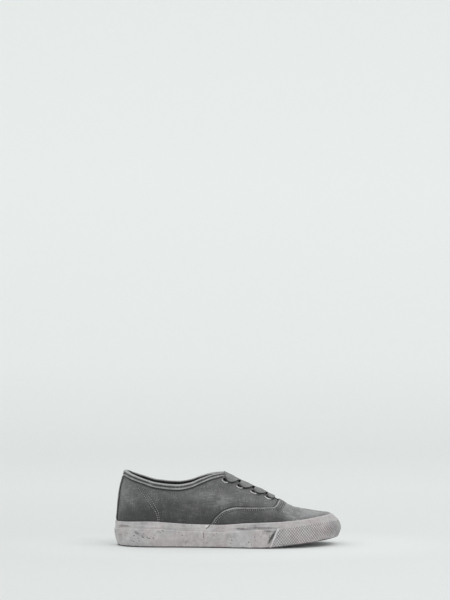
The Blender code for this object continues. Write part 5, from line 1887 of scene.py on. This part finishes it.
# Paler, rubbed places and darker, dirtier ones on the canvas, and painted shadows under the outer lace
# lobes.
CANVAS_MARKS = (
    (LATERAL, (-0.030, 0.060), (0.0200, 0.0070), 12, 0.20, 1.0),
    (LATERAL, (-0.002, 0.056), (0.0140, 0.0100), 30, 0.15, 1.2),
    (LATERAL, (-0.052, 0.052), (0.0180, 0.0060), 10, -0.08, 1.2),
    (LATERAL, (-0.118, 0.064), (0.0070, 0.0140), 5, 0.10, 1.0),
    (LATERAL, (-0.080, 0.046), (0.0240, 0.0100), 25, -0.10, 1.2),
    (LATERAL, (0.006, 0.050), (0.0200, 0.0040), 10, -0.06, 1.0),
    # Painted shadows under the lace lobes, along the outer eyelet row.
    (LATERAL, (0.0052, 0.0752), (0.0085, 0.0014), 14, -0.36, 0.4),
    (LATERAL, (0.0217, 0.0679), (0.0085, 0.0014), 14, -0.36, 0.4),
    (LATERAL, (0.0383, 0.0606), (0.0085, 0.0014), 14, -0.36, 0.4),
    (LATERAL, (0.0530, 0.0548), (0.0060, 0.0014), 5, -0.32, 0.4),
    (LATERAL, (-0.108, 0.034), (0.0160, 0.0040), 0, 0.05, 1.2),
    (MEDIAL, (-0.030, 0.058), (0.0220, 0.0080), 10, 0.15, 1.0),
    (MEDIAL, (-0.080, 0.044), (0.0240, 0.0090), 20, -0.10, 1.2),
    (MEDIAL, (-0.118, 0.064), (0.0070, 0.0140), 5, 0.10, 1.0),
)
VAMP_MARKS = (
    (LATERAL, (0.075, 0.050), (0.0120, 0.0060), 30, 0.10, 1.0),
    (LATERAL, (0.104, 0.041), (0.0220, 0.0060), 12, 0.20, 1.0),
    (LATERAL, (0.020, 0.036), (0.0300, 0.0060), 0, -0.08, 1.0),
    (MEDIAL, (0.080, 0.048), (0.0140, 0.0060), 30, 0.10, 1.0),
    (MEDIAL, (0.020, 0.036), (0.0300, 0.0060), 0, -0.08, 1.0),
)


def metal_finish():
    """Old, dulled eyelet metal with fine scratches; its barrel and inner roll are near black, partly
    tarnish and partly painted shade.
    """
    made, tree, shader = new_finish("eyelet metal", Metallic=1.0)
    position = position_on(tree)
    cloud = noise_of(tree, position, 600.0, 4.0, 0.6)
    scratch = noise_of(tree, vector_of(tree, "MULTIPLY", position, (1.0, 1.0, 6.0)), 1600.0, 3.0, 0.6)
    stops = ((0.3, (0.42, 0.41, 0.40)), (0.5, (0.70, 0.70, 0.70)), (0.7, (0.86, 0.87, 0.87)))
    across = parts_of(tree, maps_on(tree, "cloth")["Cloth"])[1]
    # Near black on the barrel and inner roll: partly tarnish, partly painted shade that widens the dark
    # hole and thins the bright ring.
    tarnish_and_shade = ramp(tree, across, 5.7, 6.9, 0.92, 0.0)
    colour = mixed(tree, tarnish_and_shade, colours(tree, cloud, stops), (0.06, 0.058, 0.055, 1.0))
    feed(tree, shader.inputs["Base Color"], colour)
    feed(tree, shader.inputs["Roughness"], ramp(tree, scratch, 0.3, 0.7, 0.24, 0.48))
    raised(tree, shader, scratch, 0.00003)
    return made


def thread_finish(name, colour):
    """Twisted sewing thread."""
    made, tree, shader = new_finish(name, Roughness=0.85, Sheen_Weight=0.2)
    position = position_on(tree)
    cloud = noise_of(tree, position, 700.0, 3.0, 0.6)
    twist = noise_of(tree, vector_of(tree, "MULTIPLY", position, (1.0, 1.0, 2.0)), 5000.0, 2.0, 0.6)
    darker = tuple(c * 0.6 for c in colour)
    feed(tree, shader.inputs["Base Color"], colours(tree, cloud, ((0.35, darker), (0.65, colour))))
    raised(tree, shader, twist, 0.00005)
    return made


canvas = cloth_finish(
    "washed canvas", CANVAS_STOPS, CANVAS_MARKS, Tone=0.370, Patches=0.46, Streaks=0.50,
    Low_fade=0.50, Edge_wear=0.5, Row_groove=0.65, Pile=0.20, Flecks=0.20,
)
vamp_canvas = cloth_finish(
    "vamp canvas", VAMP_STOPS, VAMP_MARKS, Tone=0.555, Patches=0.42, Streaks=0.36, Low_fade=0.62,
    Edge_wear=0.42, Row_groove=1.4, Pile=0.18, Flecks=0.20,
)
strip_cloth = cloth_finish(
    "heel strip cloth", TRIM_STOPS, Tone=0.66, Patches=0.35, Streaks=0.30, Low_fade=0.12,
    Edge_wear=0.1, Row_groove=0.42, Pile=0.2, Flecks=0.15,
)
# Its strong Low fade and shade share lays the painted shade inside the binding.
binding_cloth = cloth_finish(
    "worn binding", TRIM_STOPS, Tone=0.16, Patches=0.40, Streaks=0.40, Low_fade=1.05,
    Edge_wear=0.32, Row_groove=0.9, Pile=0.3, Flecks=0.2,
)
tongue_canvas = cloth_finish(
    "tongue canvas", CANVAS_STOPS, Tone=0.42, Patches=0.35, Streaks=0.45, Low_fade=0.2,
    Edge_wear=0.5, Row_groove=0.35, Pile=0.22, Flecks=0.15,
)
# The lining's near-black colour is painted shade inside the shoe.
lining_painted_shade = cloth_finish(
    "lining_painted_shade", LINING_PAINTED_SHADE_STOPS, Tone=0.24, Patches=0.35, Streaks=0.3, Low_fade=0.2, Edge_wear=0.0,
    Row_groove=0.0, Pile=0.25, Flecks=0.1,
)
# The footbed's near-black colour is painted shade inside the shoe.
footbed_cloth = cloth_finish(
    "footbed cloth", LINING_PAINTED_SHADE_STOPS, Tone=0.55, Patches=0.5, Streaks=0.35, Low_fade=0.0,
    Edge_wear=0.3, Row_groove=0.0, Pile=0.25, Flecks=0.2,
)
# Its Low fade and shade share lays the painted shade on the laces' toe edges and undersides.
lace_cotton = cloth_finish(
    "lace cotton", LACE_STOPS, Tone=0.32, Patches=0.24, Streaks=0.30, Low_fade=0.75, Edge_wear=0.10,
    Row_groove=0.0, Pile=0.40, Flecks=0.1, Thread_pitch=0.0009, bump=0.00030,
)
thread = thread_finish("grey thread", (0.25, 0.25, 0.252))
pale_thread = thread_finish("worn thread", (0.48, 0.48, 0.48))
dark_thread = thread_finish("dark thread", (0.07, 0.07, 0.072))
sidewall_rubber = rubber_finish(
    "inner band rubber", SIDEWALL_MARKS, Tone=0.61, Mottle=0.6, Specks=0.20, Rim_wear=0.22,
    Foot_dirt=0.0, Lengthwise=0.40,
)
# Its foot takes dirt and a painted contact shadow.
tape_rubber = rubber_finish(
    "outer band rubber", TAPE_MARKS, Tone=0.625, Mottle=0.64, Specks=0.80, Rim_wear=0.22,
    Foot_dirt=1.0, Lengthwise=0.15,
)
bumper_rubber = rubber_finish(
    "bumper rubber", BUMPER_MARKS, Tone=1.00, Mottle=0.45, Specks=0.2, Rim_wear=0.10,
    Foot_dirt=0.60, Lengthwise=0.1, Pressed_dirt=0.70,
)
tread_rubber = rubber_finish(
    "tread rubber", Tone=0.60, Mottle=0.7, Specks=0.7, Rim_wear=0.1, Foot_dirt=-0.2, Lengthwise=0.0,
)
eyelet_metal = metal_finish()

# ---- The shoe ----
BODY = "root"


def fit(piece, slot, *nodes):
    """Sets a finished piece on the shoe's body, in place of the solids it stands for."""
    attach(piece, BODY)
    if nodes:
        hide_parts(*nodes)


fit(build_quarter([canvas, lining_painted_shade]), "canvas", "upper")
fit(build_vamp([vamp_canvas]), "vamp_canvas", "vamp")
fit(build_heel_strip([strip_cloth]), "binding", "heel_stay")
fit(build_binding([binding_cloth]), "binding", "collar_binding")
fit(build_tongue([tongue_canvas]), "canvas", "tongue")
fit(build_laces([lace_cotton]), "lace", "lace_bar", "lace_cross_1", "lace_cross_2", "lace_cross_3")
fit(build_sidewall([sidewall_rubber]), "sidewall_rubber", "foxing")
fit(build_tape([tape_rubber]), "sidewall_rubber", "sidewall_tape")
fit(build_bumper([bumper_rubber]), "sidewall_rubber", "toe_bumper")
fit(build_tread([tread_rubber]), "tread_rubber", "outsole")
fit(build_footbed([footbed_cloth]), "footbed", "insole")
eyelet_nodes = [f"eyelet_{word}_{k}" for word in ("outer", "inner") for k in (1, 2, 3, 4)]
fit(build_eyelets(eyelet_tree(), eyelet_metal), "eyelet", *eyelet_nodes)

STITCH = stitch_tree()
row_sizes = {"Pitch": 0.0024, "Length": 0.0013, "Width": 0.00090, "Height": 0.00055}
for seam, lift, own_thread, slot in (
    ("vamp", SOFT_GAP + LAYER - 0.00008, pale_thread, "vamp_canvas"),
    ("counter", 0.00005, pale_thread, "canvas"),
    ("facing", 0.00005, thread, "canvas"),
):
    seam_rows = rows_of(seam)
    fit(build_stitches(f"{seam}_stitches", seam_rows, lift, STITCH, own_thread, **row_sizes), slot)
fit(build_tongue_stitches(STITCH, thread), "canvas")
fit(build_binding_stitches(STITCH, dark_thread), "binding")


# ---- Floor, light and camera ----
CAMERA_AWAY = 2.7
VIEW_TALL = 0.703  # what the view takes in at that distance, on its longer side
PAPER_STOPS = (
    (0.0, (0.752, 0.772, 0.765)), (0.04, (0.80, 0.822, 0.815)), (0.2, (0.86, 0.885, 0.877)),
    (0.6, (0.90, 0.920, 0.912)), (1.0, (0.905, 0.925, 0.917)),
)


def build_stage():
    """A pale floor that curves up into a backdrop, with painted light round the shoe."""
    bend = np.linspace(0, np.pi / 2, 25)
    profile = [(-6.0, 0.0), (1.6, 0.0)]
    profile += [(1.6 + 1.2 * math.sin(a), 1.2 - 1.2 * math.cos(a)) for a in bend[1:]]
    profile += [(2.8, 6.0)]
    points, faces = [], []
    for y, z in profile:
        points += [(-6.0, y, z), (6.0, y, z)]
    for k in range(len(profile) - 1):
        faces.append((2 * k, 2 * k + 1, 2 * k + 3, 2 * k + 2))
    mesh = bpy.data.meshes.new("studio_floor")
    mesh.from_pydata(points, [], faces)
    mesh.shade_smooth()
    paper, tree, shader = new_finish("studio paper", Roughness=0.95, Specular_IOR_Level=0.0)
    position = position_on(tree)
    _, back, up = parts_of(tree, position)
    spread = vector_of(tree, "MULTIPLY", position, (1 / 0.24, 1 / 0.16, 0.0))
    # Painted light: the floor is paler in an oval round the shoe, lifting the shoe's soft shadow.
    near = ramp(tree, vector_of(tree, "LENGTH", spread, output="Value"), 0.5, 1.3, 0.045, 0.0)
    far = ramp(tree, back, 0.1, 1.1, 0.0, 0.05)
    height = math_of(tree, "ADD", up, math_of(tree, "ADD", near, far))
    feed(tree, shader.inputs["Base Color"], colours(tree, height, PAPER_STOPS))
    mesh.materials.append(paper)
    linked("studio_floor", mesh)


def add_softbox(name, place, aim, size, power):
    light = bpy.data.lights.new(name, "AREA")
    light.shape = "RECTANGLE"
    light.size, light.size_y = size
    light.energy = power
    made = linked(name, light)
    made.location = place
    made.rotation_euler = (Vector(aim) - Vector(place)).to_track_quat("-Z", "Y").to_euler()


def light_scene():
    world = bpy.data.worlds.new("soft studio")
    world.use_nodes = True
    sky = world.node_tree.nodes["Background"]
    sky.inputs["Color"].default_value = (0.99, 1.0, 1.0, 1.0)
    sky.inputs["Strength"].default_value = 0.925
    bpy.context.scene.world = world
    add_softbox("overhead softbox", (0.95, -0.60, 1.6), (0.0, 0.0, 0.0), (1.6, 1.2), 6.0)


def add_camera():
    camera = bpy.data.cameras.new("camera")
    camera.sensor_width = 36.0
    camera.lens = camera.sensor_width * CAMERA_AWAY / VIEW_TALL
    made = linked("camera", camera)
    made.location = (-0.0031, -CAMERA_AWAY, 0.2866)
    made.rotation_euler = (math.pi / 2, 0.0, 0.0)
    bpy.context.scene.camera = made


build_stage()
light_scene()
add_camera()
bpy.context.scene.view_settings.view_transform = "Standard"
